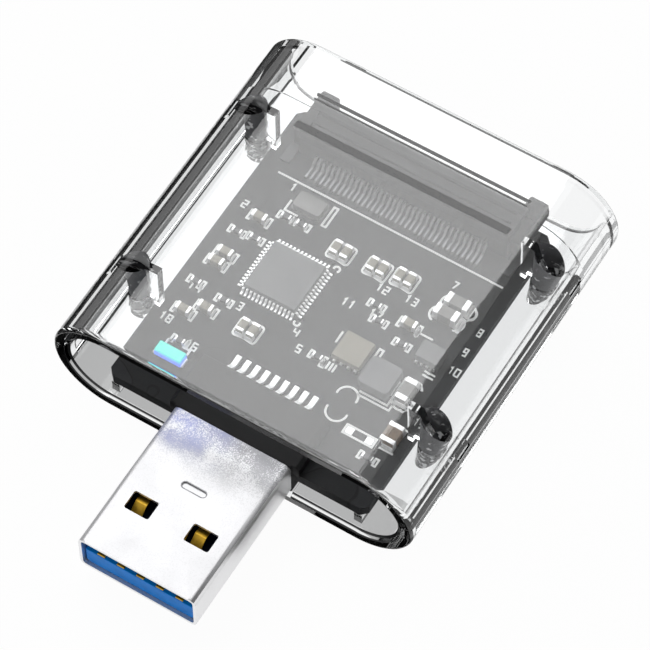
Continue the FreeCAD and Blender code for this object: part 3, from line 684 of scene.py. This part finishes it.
def makeShell(node, label, keepLevel, squash):
    # keeps the solid's own shading; the upper one is pressed up a hair so that the parting line shows
    piece = bpy.data.objects.new(label, nodes[node].data.copy())
    joints = [jointKind(face) for face in piece.data.polygons]
    sharpenEnds(piece.data)
    for vertex in piece.data.vertices:
        vertex.co.z = keepLevel + (vertex.co.z - keepLevel) * squash
    scene.collection.objects.link(piece)
    dress(piece, finishes["clear_plastic"], node)
    for finish in (shadedJointFinish, pinFinish, postFinish, rimShadeFinish, pressedFinish):
        piece.data.materials.append(finish)
    piece.data.polygons.foreach_set("material_index", joints)


lidDepth = caseTop - caseShells["parting"] * mm
makeShell("upper_shell", "case_upper", caseTop, (lidDepth - caseShells["gap"] * mm) / lidDepth)
makeShell("lower_shell", "case_lower", 0.0, 1.0)
# y holds the front and back of each rib
shadeRibs = {"x": (-10.9, 11.4), "y": ((9.95, 10.75), (13.5, 13.6), (13.95, 14.2)), "z": (9.5, 9.86),
        "edge": 0.04}


def makeRibs():
    # cross ribs under the top plate, over the socket, made of black plastic as painted shade for the dark
    # lines there
    rough = bmesh.new()
    (left, right), (low, high) = ([value * mm for value in shadeRibs[key]] for key in ("x", "z"))
    for front, back in shadeRibs["y"]:
        addBlock(rough, (left, front * mm, low), (right, back * mm, high))
    makePiece("case_shade_ribs", rough, "clear_plastic", edge=shadeRibs["edge"], finish=finishes["black_plastic"])


makeRibs()
print("case done")

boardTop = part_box("circuit_board")[1].z
padEdge = 0.03  # rounding of solder pads
chipParts = {"bodyTaper": 0.02, "edge": 0.05, "endShare": 0.24, "endGrow": 0.02, "endTaper": 0.03,
             "endEdge": 0.035, "fillet": 0.16, "filletRise": 0.45, "filletTaper": 0.8}


def addEnds(rough, low, high, along):
    # plated ends of a chip part, each with a small foot of solder
    across = 1 - along
    share = (high[along] - low[along]) * chipParts["endShare"]
    grow = chipParts["endGrow"] * mm
    foot = chipParts["fillet"] * mm
    for start, stop, rim in ((low[along], low[along] + share, low[along]),
                             (high[along] - share, high[along], high[along])):
        a, b = Vector(low), Vector(high)
        a[along], b[along] = start, stop
        a[across] -= grow
        b[across] += grow
        b.z += grow
        addBlock(rough, a, b, chipParts["endTaper"] * mm)
        a[along], b[along] = rim - foot, rim + foot
        b.z = a.z + (high.z - low.z) * chipParts["filletRise"]
        addBlock(rough, a, b, foot * chipParts["filletTaper"])


def makeChipParts(node, label):
    bodies, ends = bmesh.new(), bmesh.new()
    for low, high in solidBoxes(node):
        along = 0 if high.x - low.x > high.y - low.y else 1
        addBlock(bodies, low, high, chipParts["bodyTaper"] * mm)
        addEnds(ends, low, high, along)
    makePiece(label + "_bodies", bodies, slotOf[node], node, edge=chipParts["edge"])
    makePiece(label + "_ends", ends, "tinned_metal", edge=chipParts["endEdge"])


for node, label in (("ceramic_capacitors", "ceramic"), ("filter_capacitors", "filter"),
                    ("chip_resistors", "resistor"), ("storage_capacitor", "storage")):
    makeChipParts(node, label)
print("chip parts done")

bridge = {"taper": 0.08, "undercut": 0.05, "edge": 0.05, "dot": 0.3, "dotInset": 0.75, "dotLine": 0.06,
          "dotDepth": 0.02, "leadWidth": 0.2, "leadSheet": 0.11, "lift": 0.34, "root": 0.05,
          "shoulder": 0.16, "toe": 0.34}


def makeBridgeBody():
    low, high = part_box("bridge_chip")
    waist = (low.z + high.z) / 2
    cut = bridge["undercut"] * mm
    body = bmesh.new()
    addBlock(body, (low.x, low.y, waist), high, bridge["taper"] * mm)
    addBlock(body, (low.x + cut, low.y + cut, low.z + cut), (high.x - cut, high.y - cut, waist))
    makePiece("bridge_body", body, "chip_resin", "bridge_chip", edge=bridge["edge"])
    # the ring that marks the first lead's corner
    spot = (high.x - bridge["dotInset"] * mm, high.y - bridge["dotInset"] * mm)
    ring = arc(spot, bridge["dot"] * mm, 0, 330, 12)
    dot = bmesh.new()
    addRibbon(dot, ring, bridge["dotLine"] * mm, high.z - bridge["dotDepth"] * mm, high.z, closed=True)
    makePiece("bridge_dot", dot, "chip_resin", finish=finishes["resistor_glaze"])


def makeBridgeLeads():
    # one side's leads, turned round the chip for the other three
    low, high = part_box("bridge_chip")
    middle = (low + high) / 2
    side = high.x - middle.x
    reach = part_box("bridge_chip_leads")[1].x - middle.x
    ground = boardTop + bridge["leadSheet"] / 2 * mm
    lifted = ground + bridge["lift"] * mm
    path = [(side - bridge["root"] * mm, lifted), (side + bridge["shoulder"] * mm, lifted),
            (reach - bridge["toe"] * mm, ground), (reach, ground)]
    half = bridge["leadWidth"] / 2 * mm
    lead = bmesh.new()
    addRibbon(lead, path, bridge["leadSheet"] * mm, -half, half, sideLay)
    rear = [box for box in solidBoxes("bridge_chip_leads") if box[0].y > high.y - caseShells["slack"] * mm]
    pitch = rear[1][0].x - rear[0][0].x
    makeRow("bridge_leads", lead, "tinned_metal", "bridge_chip_leads", len(rear),
            (-pitch * (len(rear) - 1) / 2, 0, 0), (pitch, 0, 0), 4, (middle.x, middle.y, 0), leadFinish)


makeBridgeBody()
makeBridgeLeads()

# the run along the top, then the bend and the landing, measured from where the leaf leaves its housing
tails = {"width": 0.5, "sheet": 0.18, "flat": 0.3, "bend": 0.55, "land": 0.95, "bow": 0.0, "rearward": True}
socketLeaves = {"width": 0.2, "sheet": 0.13, "flat": 0.3, "bend": 0.55, "land": 0.85, "bow": 0.12,
                "rearward": False}


def makeLeaves(node, label, leaf, finish):
    # one bent leaf for each solid: out of the housing, down and flat on the board
    boxes = solidBoxes(node)
    low, high = boxes[0]
    start, end, onward = (low.y, high.y, mm) if leaf["rearward"] else (high.y, low.y, -mm)
    ground = boardTop + leaf["sheet"] / 2 * mm
    top = high.z - leaf["sheet"] / 2 * mm
    path = [(start, top), (start + leaf["flat"] * onward, top),
            (start + leaf["bend"] * onward, (top + ground) / 2 + leaf["bow"] * mm),
            (start + leaf["land"] * onward, ground), (end, ground)]
    half = leaf["width"] / 2 * mm
    rough = bmesh.new()
    addRibbon(rough, path, leaf["sheet"] * mm, -half, half, sideLay)
    makeRow(label, rough, "tinned_metal", node, len(boxes), ((low.x + high.x) / 2, 0, 0),
            (boxes[1][0].x - low.x, 0, 0), finish=finish)


makeLeaves("usb_solder_tails", "plug_tails", tails, leadFinish)
makeLeaves("socket_upper_contacts", "socket_leaves", socketLeaves, dullTinAndShadeFinish)
print("leads done")

crystal = {"flange": 0.16, "flangeHeight": 0.14, "flangeCorner": 0.35, "lidCorner": 0.28, "edge": 0.07}


def makeCrystal():
    low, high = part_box("crystal_can")
    rough = bmesh.new()
    flangeTop = low.z + crystal["flangeHeight"] * mm
    for inset, top, corner in ((0.0, flangeTop, crystal["flangeCorner"]),
                               (crystal["flange"] * mm, high.z, crystal["lidCorner"])):
        loop = roundedLoop(low.x + inset, high.x - inset, low.y + inset, high.y - inset, corner * mm)
        face = rough.faces.new([rough.verts.new((x, y, low.z)) for x, y in loop])
        for item in bmesh.ops.extrude_face_region(rough, geom=[face])["geom"]:
            if isinstance(item, bmesh.types.BMVert):
                item.co.z = top
    makePiece("crystal_case", rough, "can_steel", "crystal_can", edge=crystal["edge"], segments=3)


makeCrystal()

# the pads' spans are measured from the left and the right side
coil = {"edge": 0.08, "padHeight": 0.28, "padInset": 0.7, "padTaper": 0.04,
        "leftPad": (-0.1, 0.2), "rightPad": (-0.22, 0.08)}


def makeInductor():
    low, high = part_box("power_inductor")
    makePiece("inductor_body", roughCopy("power_inductor"), "inductor_ferrite", "power_inductor",
              edge=coil["edge"])
    ends = bmesh.new()
    inset = coil["padInset"] * mm
    top = boardTop + coil["padHeight"] * mm
    for x, (start, stop) in ((low.x, coil["leftPad"]), (high.x, coil["rightPad"])):
        addBlock(ends, (x + start * mm, low.y + inset, boardTop), (x + stop * mm, high.y - inset, top),
                 coil["padTaper"] * mm)
    makePiece("inductor_pads", ends, "tinned_metal", edge=padEdge)


makeInductor()

flatChips = {"padCount": 4, "padWidth": 0.28, "padReach": 0.22, "padHeight": 0.18, "taper": 0.03,
             "edge": 0.05}


def makeFlatChip(node, label):
    # leadless chip with plated pads along two sides
    low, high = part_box(node)
    taper = flatChips["taper"] * mm
    body = bmesh.new()
    addBlock(body, low, high, taper)
    makePiece(label + "_body", body, slotOf[node], node, edge=flatChips["edge"])
    half = flatChips["padWidth"] / 2 * mm
    reach = flatChips["padReach"] * mm
    depth = (high.y - low.y) / 2
    top = boardTop + flatChips["padHeight"] * mm
    pad = bmesh.new()
    addBlock(pad, (-half, depth - reach, boardTop), (half, depth + reach, top), taper)
    count = flatChips["padCount"]
    pitch = (high.x - low.x) / count
    makeRow(label + "_pads", pad, "tinned_metal", None, count, (-pitch * (count - 1) / 2, 0, 0),
            (pitch, 0, 0), 2, ((low.x + high.x) / 2, (low.y + high.y) / 2, 0))


makeFlatChip("memory_chip", "memory")
makeFlatChip("regulator", "regulator")

indicator = {"taper": 0.06, "edge": 0.08, "padReach": 0.22, "padInset": 0.1, "padHeight": 0.2,
             "padTaper": 0.08}


def makeIndicator():
    low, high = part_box("indicator_light")
    rough = bmesh.new()
    addBlock(rough, low, high, indicator["taper"] * mm)
    makePiece("indicator_lens", rough, "light_resin", "indicator_light", edge=indicator["edge"], segments=3)
    pads = bmesh.new()
    reach, inset = indicator["padReach"] * mm, indicator["padInset"] * mm
    top = boardTop + indicator["padHeight"] * mm
    for x in (low.x, high.x):
        addBlock(pads, (x - reach, low.y + inset, boardTop), (x + reach, high.y - inset, top),
                 indicator["padTaper"] * mm)
    makePiece("indicator_pads", pads, "tinned_metal", edge=padEdge)


makeIndicator()
print("components done")

plug = {"windowCorner": 0.42, "windowReach": 8.0, "sideBand": 0.4, "upright": 0.001, "edge": 0.05,
        "smooth": 50.0}


def makePlugShell():
    # the upright edges of the windows are rounded, and not those of the folded sides
    rough = roughCopy("usb_shell")
    low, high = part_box("usb_shell")
    sideStart = high.x - plug["sideBand"] * mm
    windowEnd = low.y + plug["windowReach"] * mm
    upright = [edge for edge in rough.edges
               if (edge.verts[0].co - edge.verts[1].co).to_2d().length < plug["upright"] * mm
               and max(abs(v.co.x) for v in edge.verts) < sideStart and edge.verts[0].co.y < windowEnd]
    bmesh.ops.bevel(rough, geom=upright, offset=plug["windowCorner"] * mm, segments=4, profile=0.5,
                    affect="EDGES", clamp_overlap=True)
    makePiece("plug_shell", rough, "plug_steel", "usb_shell", edge=plug["edge"], smooth=plug["smooth"])


makePlugShell()

# each spring's path: shares of its length, and of its rise
plugContacts = {"springs": (-3.45, -1.0, 1.0, 2.65), "springWidth": 1.15, "rise": 1.15, "sheet": 0.15,
                "path": ((0, 0), (0.2, 0), (0.42, 1), (0.58, 1), (0.95, 0), (1, 0)),
                "nose": 0.05, "taper": 0.03, "edge": 0.03}


def makePlugContacts():
    # each spring climbs to its bend under the windows and comes down again
    low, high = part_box("usb_power_contacts")
    foot = low.z + plugContacts["sheet"] / 2 * mm
    path = [(low.y + (high.y - low.y) * share, foot + plugContacts["rise"] * mm * lift)
            for share, lift in plugContacts["path"]]
    half = plugContacts["springWidth"] / 2
    springs = bmesh.new()
    for x in plugContacts["springs"]:
        addRibbon(springs, path, plugContacts["sheet"] * mm, (x - half) * mm, (x + half) * mm, sideLay)
    makePiece("plug_springs", springs, "gold_plate", "usb_power_contacts", edge=plugContacts["edge"])
    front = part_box("usb_tongue")[0].y + plugContacts["nose"] * mm
    signals = bmesh.new()
    for low, high in solidBoxes("usb_signal_contacts"):
        addBlock(signals, (low.x, front, low.z), high, plugContacts["taper"] * mm)
    makePiece("plug_signals", signals, "gold_plate", "usb_signal_contacts", edge=plugContacts["edge"])


makePlugContacts()

dimple = {"length": 2.5, "width": 0.7, "setback": 9.2, "line": 0.1, "depth": 0.1, "lift": 0.006}


def makeDimple():
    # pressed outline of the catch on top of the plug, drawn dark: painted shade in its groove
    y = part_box("usb_shell")[0].y + dimple["setback"] * mm
    radius = dimple["width"] / 2 * mm
    reach = (dimple["length"] - dimple["width"]) / 2 * mm
    loop = arc((reach, y), radius, -90, 90) + arc((-reach, y), radius, 90, 270)
    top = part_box("usb_rear_block")[1].z + dimple["lift"] * mm
    rough = bmesh.new()
    addRibbon(rough, loop, dimple["line"] * mm, top - dimple["depth"] * mm, top, closed=True)
    makePiece("plug_dimple", rough, "plug_steel", finish=dullTinAndShadeFinish)


makeDimple()

# what keeps its solid's shape and only gets its edges rounded
softCopies = {"usb_tongue": ("plug_tongue", 0.08), "usb_rear_block": ("plug_block", 0.1),
              "ssd_socket": ("socket_body", 0.08), "socket_lower_contacts": ("socket_beams", 0.03),
              "socket_anchors": ("socket_tabs", 0.05)}
for node, (label, edge) in softCopies.items():
    finish = shadedTinFinish if node == "socket_anchors" else None  # painted shade: the tabs are drawn dark, as they lie in shade
    makePiece(label, roughCopy(node), slotOf[node], node, edge=edge, finish=finish)
print("plug and socket done")

ink = {"height": 0.025, "line": 0.2, "digitHeight": 0.75, "digitWidth": 0.42, "digitStep": 1.7,
       "digitLine": 0.16, "cellGap": 0.24, "cellCorner": 0.3, "cellNotch": 0.13, "bracketGap": 0.34,
       "bracketOver": 0.12, "bracketTurn": 0.34, "bow": 0.85, "bowShift": 0.45, "bowHalf": 75,
       "barGap": 0.28, "barOver": 0.1, "frameRise": 0.15}
marks = bmesh.new()


def draw(points, closed=False, width=ink["line"]):
    addRibbon(marks, points, width * mm, boardTop, boardTop + ink["height"] * mm, closed=closed)


def drawFrame(left, right, front, back):
    draw([(left, front), (right, front), (right, back), (left, back)], closed=True)


def drawBracket(x, front, back, inward):
    # one end of a part's outline; inward is the sign of X towards the part
    turn = ink["bracketTurn"] * mm * inward
    draw([(x + turn, front), (x, front), (x, back), (x + turn, back)])


def drawCell(left, right, front, back):
    # round-cornered outline of two parts side by side, pinched in the middle
    middle = (left + right) / 2
    notch = ink["cellNotch"] * mm
    loop = roundedLoop(left, right, front, back, ink["cellCorner"] * mm)
    corner = len(loop) // 4
    loop.insert(3 * corner, (middle, front + notch))
    loop.insert(corner, (middle, back - notch))
    draw(loop, closed=True)
    draw([(middle, front), (middle, (front + back) / 2)])


strokes = {
    "0": [[(0, 0), (1, 0), (1, 2), (0, 2), (0, 0)]],
    "1": [[(0.2, 1.6), (0.6, 2), (0.6, 0)]],
    "2": [[(0, 2), (1, 2), (1, 1), (0, 1), (0, 0), (1, 0)]],
    "3": [[(0, 2), (1, 2), (1, 0), (0, 0)], [(0.2, 1), (1, 1)]],
    "4": [[(0, 2), (0, 1), (1, 1)], [(1, 2), (1, 0)]],
    "5": [[(1, 2), (0, 2), (0, 1), (1, 1), (1, 0), (0, 0)]],
    "6": [[(1, 2), (0, 2), (0, 0), (1, 0), (1, 1), (0, 1)]],
    "7": [[(0, 2), (1, 2), (0.4, 0)]],
    "8": [[(0, 0), (1, 0), (1, 2), (0, 2), (0, 0)], [(0, 1), (1, 1)]],
    "9": [[(1, 1), (0, 1), (0, 2), (1, 2), (1, 0), (0, 0)]],
}


def drawNumber(number, x, y):
    wide, tall = ink["digitWidth"], ink["digitHeight"] / 2
    for place, digit in enumerate(str(number)):
        start = x + place * wide * ink["digitStep"]
        for stroke in strokes[digit]:
            points = [((start + a * wide) * mm, (y + b * tall) * mm) for a, b in stroke]
            draw(points, width=ink["digitLine"])


def drawPartOutlines():
    caps = solidBoxes("ceramic_capacitors")
    standing = [box for box in caps if box[1].y - box[0].y > box[1].x - box[0].x]
    gap = ink["cellGap"] * mm
    for first, second in zip(standing[::2], standing[1::2]):
        drawCell(first[0].x - gap, second[1].x + gap, first[0].y - gap, first[1].y + gap)
    lying = [box for box in caps if box not in standing] + solidBoxes("chip_resistors")
    gap, over = ink["bracketGap"] * mm, ink["bracketOver"] * mm
    for low, high in lying:
        drawBracket(low.x - gap, low.y - over, high.y + over, 1)
        drawBracket(high.x + gap, low.y - over, high.y + over, -1)
    radius = ink["bow"] * mm
    for low, high in solidBoxes("filter_capacitors"):
        wide = high.x - low.x > high.y - low.y
        middle = (low + high) / 2
        reach = (high.x - low.x if wide else high.y - low.y) / 2
        for start, sign in ((0, 1), (180, -1)) if wide else ((90, 1), (270, -1)):
            shift = sign * (reach - radius * ink["bowShift"])
            centre = (middle.x + shift, middle.y) if wide else (middle.x, middle.y + shift)
            draw(arc(centre, radius, start - ink["bowHalf"], start + ink["bowHalf"]))
    low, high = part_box("storage_capacitor")
    gap, over = ink["barGap"] * mm, ink["barOver"] * mm
    for y in (low.y - gap, high.y + gap):
        draw([(low.x - over, y), (high.x + over, y)])


def drawSideFrame(node, gap, width):
    # narrow upright frame beside a chip
    low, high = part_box(node)
    left = high.x + gap * mm
    drawFrame(left, left + width * mm, low.y, high.y + ink["frameRise"] * mm)


# lines beside parts: the part, one of its corners, and points measured from that corner
cornerLines = (
    ("crystal_can", "left front", ((-0.3, 0.9), (-0.3, -0.3), (1.1, -0.3))),
    ("indicator_light", "left back", ((0.3, 0.2), (0.3, 0.75), (0.7, 0.75))),
    ("indicator_light", "right back", ((-0.2, 0.2), (-0.2, 0.75), (-0.6, 0.75))),
    ("regulator", "left back", ((-2.6, 0.7), (0.4, 0.7))),
    ("regulator", "left back", ((-1.1, 1.1), (-1.1, 0.1))),
    ("regulator", "right front", ((-0.8, -0.5), (0.1, -0.5))),
    ("regulator", "right front", ((-0.8, -0.9), (0.1, -0.9))),
)
# hooks at the bridge chip's corners: the corner, the centre measured from it, the radius and the angles
chipHooks = (("right back", (0.0, 0.0), 0.3, (-60, 200)), ("right front", (-0.1, 0.1), 0.28, (150, 400)))
boardLines = {"socketDrop": 0.8, "socketStart": 0.35, "socketOver": 0.3, "coilGaps": (0.24, 0.62),
              "coilStop": 0.5, "combStart": -0.2, "combPitch": 0.34, "combCount": 4,
              "combSpan": (-0.35, -1.2), "memoryGap": 0.5, "memoryRise": 1.6}


def drawFrom(node, corner, points):
    low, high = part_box(node)
    left = low.x if "left" in corner else high.x
    front = low.y if "front" in corner else high.y
    draw([(left + x * mm, front + y * mm) for x, y in points])


def drawBoardLines():
    for node, corner, points in cornerLines:
        drawFrom(node, corner, points)
    for corner, centre, radius, (start, end) in chipHooks:
        drawFrom("bridge_chip_leads", corner, arc(centre, radius, start, end))
    for step in range(boardLines["combCount"]):
        x = boardLines["combStart"] + step * boardLines["combPitch"]
        drawFrom("memory_chip", "left front", [(x, y) for y in boardLines["combSpan"]])
    low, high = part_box("memory_chip")
    x = low.x - boardLines["memoryGap"] * mm
    draw([(x, high.y), (x, low.y + boardLines["memoryRise"] * mm)])
    low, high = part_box("ssd_socket")
    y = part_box("socket_upper_contacts")[0].y - boardLines["socketDrop"] * mm
    draw([(low.x + boardLines["socketStart"] * mm, y), (high.x + boardLines["socketOver"] * mm, y)])
    low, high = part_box("power_inductor")
    for gap in boardLines["coilGaps"]:
        x, y = high.x + gap * mm, low.y - gap * mm
        draw([(x, high.y), (x, y), (low.x + boardLines["coilStop"] * mm, y)])


bareRing = {"x": 6.2, "back": -8.75, "front": -10.5, "radius": 1.0, "over": 10, "points": 13}
longPad = {"left": 7.7, "right": 10.7, "front": -12.0, "back": -11.1, "inset": 0.15, "margin": 0.14,
           "solder": 0.7, "height": 0.03}
numberSpots = ((-9.6, 7.0), (-12.4, 3.2), (-7.0, -6.2), (-1.3, -5.9), (-0.2, -7.2), (2.4, -7.4), (8.3, 5.7),
               (12.5, 2.6), (12.4, 0.2), (12.2, -2.0), (0.7, -0.9), (2.6, 2.0), (5.4, 2.3), (-11.9, -6.6),
               (12.3, -7.6), (-8.9, -11.9), (3.4, -0.6), (-12.4, -10.6))


def makeBoardMarks():
    drawPartOutlines()
    drawSideFrame("crystal_can", 0.25, 0.42)
    drawSideFrame("memory_chip", 0.32, 0.4)
    drawBoardLines()
    for y, start in ((bareRing["back"], 0), (bareRing["front"], 180)):
        centre = (bareRing["x"] * mm, y * mm)
        end = start + 180 + bareRing["over"]
        draw(arc(centre, bareRing["radius"] * mm, start - bareRing["over"], end, bareRing["points"]))
    drawFrame(*(longPad[side] * mm for side in ("left", "right", "front", "back")))
    for number, (x, y) in enumerate(numberSpots, 1):
        drawNumber(number, x, y)
    makePiece("board_marks", marks, "board_lacquer", finish=inkFinish)


def makeBoardPads():
    # bare solder at both ends of the long pad
    solder = bmesh.new()
    front, back = (longPad["front"] + longPad["margin"]) * mm, (longPad["back"] - longPad["margin"]) * mm
    top = boardTop + longPad["height"] * mm
    for x in (longPad["left"] + longPad["inset"], longPad["right"] - longPad["inset"] - longPad["solder"]):
        addBlock(solder, (x * mm, front, boardTop), ((x + longPad["solder"]) * mm, back, top))
    makePiece("board_pads", solder, "tinned_metal")


makeBoardMarks()
makeBoardPads()
print("board marks done")

# the floor's half width and the softbox's distance and span are in metres
studio = {"floorHalf": 1.2, "floorGap": 0.06, "floorColour": (0.95, 0.95, 0.95, 1.0), "floorGlow": 0.96,
          "throughGlow": 0.9, "worldFill": 0.45, "softboxRadiance": 2.65, "softboxDistance": 0.6,
          "softboxSpan": (0.5, 0.5), "softboxTilt": -20.0}


def seenDirectly(graph):
    # 1 for what the camera, a reflection or a clear wall shows, 0 for light falling on surfaces
    total = graph.ray("Camera") + graph.ray("Glossy") + graph.ray("Transmission")
    return total.calc("MINIMUM", total, 1.0)


def flatCorners(left, right, front, back, z):
    return [(left, front, z), (right, front, z), (right, back, z), (left, back, z)]


def makeSheet(name, corners, material, faces=((0, 1, 2, 3),)):
    mesh = bpy.data.meshes.new(name)
    mesh.from_pydata(corners, [], faces)
    sheet = bpy.data.objects.new(name, mesh)
    scene.collection.objects.link(sheet)
    mesh.materials.append(material)
    return sheet


def makeFloor():
    look = Look("floor_paper")
    look.surface(Base_Color=studio["floorColour"], Roughness=0.9)
    white = look.add("ShaderNodeEmission", {}, {"Color": (1, 1, 1, 1), "Strength": 1.0})
    # the shadow under the board shows more through the case than the faint one beside it
    lost = look.ray("Transmission") * (studio["floorGlow"] - studio["throughGlow"])
    paper = look.output(seenDirectly(look) * studio["floorGlow"] - lost, look.own(), white)
    half = studio["floorHalf"]
    makeSheet("floor", flatCorners(-half, half, -half, half, -studio["floorGap"] * mm), paper)


def makeWorld():
    world = bpy.data.worlds.new("studio")
    scene.world = world
    world.use_nodes = True
    graph = Graph(world.node_tree)
    background = world.node_tree.nodes["Background"]
    level = seenDirectly(graph)
    graph.feed(background.inputs["Color"], (1, 1, 1, 1))
    graph.feed(background.inputs["Strength"], level + (1 - level) * studio["worldFill"])


# angles in degrees, lens and sensor in mm, the rest in metres
view = {"azimuth": 31.852, "elevation": 59.275, "roll": -0.311, "distance": 0.33401, "lens": 206.735,
        "sensor": 36, "clipStart": 0.01, "aim": (0.00032, -0.00289, 0.00358)}


def makeCamera():
    azimuth, elevation, roll = (math.radians(view[key]) for key in ("azimuth", "elevation", "roll"))
    back = Vector((math.sin(azimuth) * math.cos(elevation), -math.cos(azimuth) * math.cos(elevation),
                   math.sin(elevation)))
    level = Vector((math.cos(azimuth), math.sin(azimuth), 0))
    right = level * math.cos(roll) + back.cross(level) * math.sin(roll)
    data = bpy.data.cameras.new("camera")
    data.lens = view["lens"]
    data.sensor_width = view["sensor"]
    data.clip_start = view["clipStart"]
    camera = bpy.data.objects.new("camera", data)
    place = Matrix((right, back.cross(right), back)).transposed().to_4x4()
    place.translation = Vector(view["aim"]) + back * view["distance"]
    camera.matrix_world = place
    scene.collection.objects.link(camera)
    scene.camera = camera
    return back


def makeSoftbox(back):
    # hangs where the flat top mirrors it towards the camera
    turn = Matrix.Rotation(math.radians(studio["softboxTilt"]), 3, "Y")
    direction = turn @ Vector((-back.x, -back.y, back.z))
    data = bpy.data.lights.new("softbox", "AREA")
    data.shape = "RECTANGLE"
    data.size, data.size_y = studio["softboxSpan"]
    data.energy = studio["softboxRadiance"] * math.pi * data.size * data.size_y
    lamp = bpy.data.objects.new("softbox", data)
    place = direction.to_track_quat("Z", "Y").to_matrix().to_4x4()
    place.translation = direction * studio["softboxDistance"]
    lamp.matrix_world = place
    lamp.visible_camera = False
    scene.collection.objects.link(lamp)


dark, dusk, grey = ((level, level, level, 1.0) for level in (0.004, 0.02, 0.5))
# strips on the floor: left, right, front, back and colour
floorCards = {"left": (-36.0, -26.3, -200, 200, dark), "left_far": (-300.0, -36.0, -200, 200, dusk),
              "left_line": (-19.95, -19.35, -200, 200, dark), "left_rear": (-26.4, -22.8, 20, 200, dark),
              "right": (18.6, 20.8, -200, 200, grey)}
skyCards = {"sky": {"x": -250, "y": (-50, 350), "z": (80, 420)},
            "rightSky": {"x": 300, "y": (-100, 1000), "z": (50, 1500)}}
mouthCards = {"spans": ((-24, -6.6), (8.5, 20)), "reach": 6.5}
underCard = {"span": (-20.0, 17.6, -17.35, -13.4), "level": (0.5, 0.5, 0.5, 1.0)}
rearCard = {"gap": 0.06, "points": 25}
cardLift = -0.04 * mm


def makeCard(name, corners, paper, faces=((0, 1, 2, 3),), through=True):
    # paper that shows only in reflections and, unless through is off, through the clear walls
    card = makeSheet("card_" + name, corners, paper, faces)
    card.visible_camera = False
    card.visible_diffuse = False
    card.visible_shadow = False
    card.visible_transmission = through


def cardPaper(name, colour):
    return Look("card_" + name).surface(Base_Color=colour, Roughness=0.9)


def makeFloorCards():
    for name, (*span, colour) in floorCards.items():
        makeCard(name, flatCorners(*(side * mm for side in span), cardLift), cardPaper(name, colour))


def makeMouthCards():
    # before the mouth, beside the plug, for reflections in the rim's front face alone
    front = caseLow.y - mouthCards["reach"] * mm
    for left, right in mouthCards["spans"]:
        makeCard("mouth", flatCorners(left * mm, right * mm, front, caseLow.y, cardLift),
                 cardPaper("mouth", dark), through=False)


def makeUnderCard():
    # grey paper under the mouth, for the shade inside it
    paper = Look("card_under").surface(Base_Color=(0, 0, 0, 1), Emission_Color=underCard["level"],
                                       Emission_Strength=1.0, Roughness=0.9, Specular_IOR_Level=0.0)
    makeCard("under", flatCorners(*(side * mm for side in underCard["span"]), cardLift), paper)


def makeSkyCard(name, through):
    # upright at one side; the left one is also what the rim of the upper shell looks at
    sky = skyCards[name]
    x = sky["x"] * mm
    (front, back), (low, high) = ([value * mm for value in sky[key]] for key in ("y", "z"))
    corners = [(x, front, low), (x, back, low), (x, back, high), (x, front, high)]
    makeCard(name, corners, cardPaper(name, dark), through=through)


def makeRearCard():
    # a dark frame behind the case's rear end, the shape of its wall
    y = caseHigh.y + rearCard["gap"] * mm
    count = rearCard["points"]
    corners = []
    for radius in (caseRadius, caseRadius - caseShells["wall"] * mm):
        ring = arc((caseStraight, caseRadius), radius, -90, 90, count)
        ring += arc((-caseStraight, caseRadius), radius, 90, 270, count)
        corners += [(x, y, z) for x, z in ring]
    around = len(ring)
    faces = [(i, (i + 1) % around, around + (i + 1) % around, around + i) for i in range(around)]
    makeCard("rear", corners, cardPaper("rear", dark), faces)


makeFloor()
makeWorld()
makeSoftbox(makeCamera())
makeFloorCards()
makeMouthCards()
makeUnderCard()
makeSkyCard("sky", True)
makeSkyCard("rightSky", False)
makeRearCard()
scene.view_settings.view_transform = "Standard"
print("studio done")
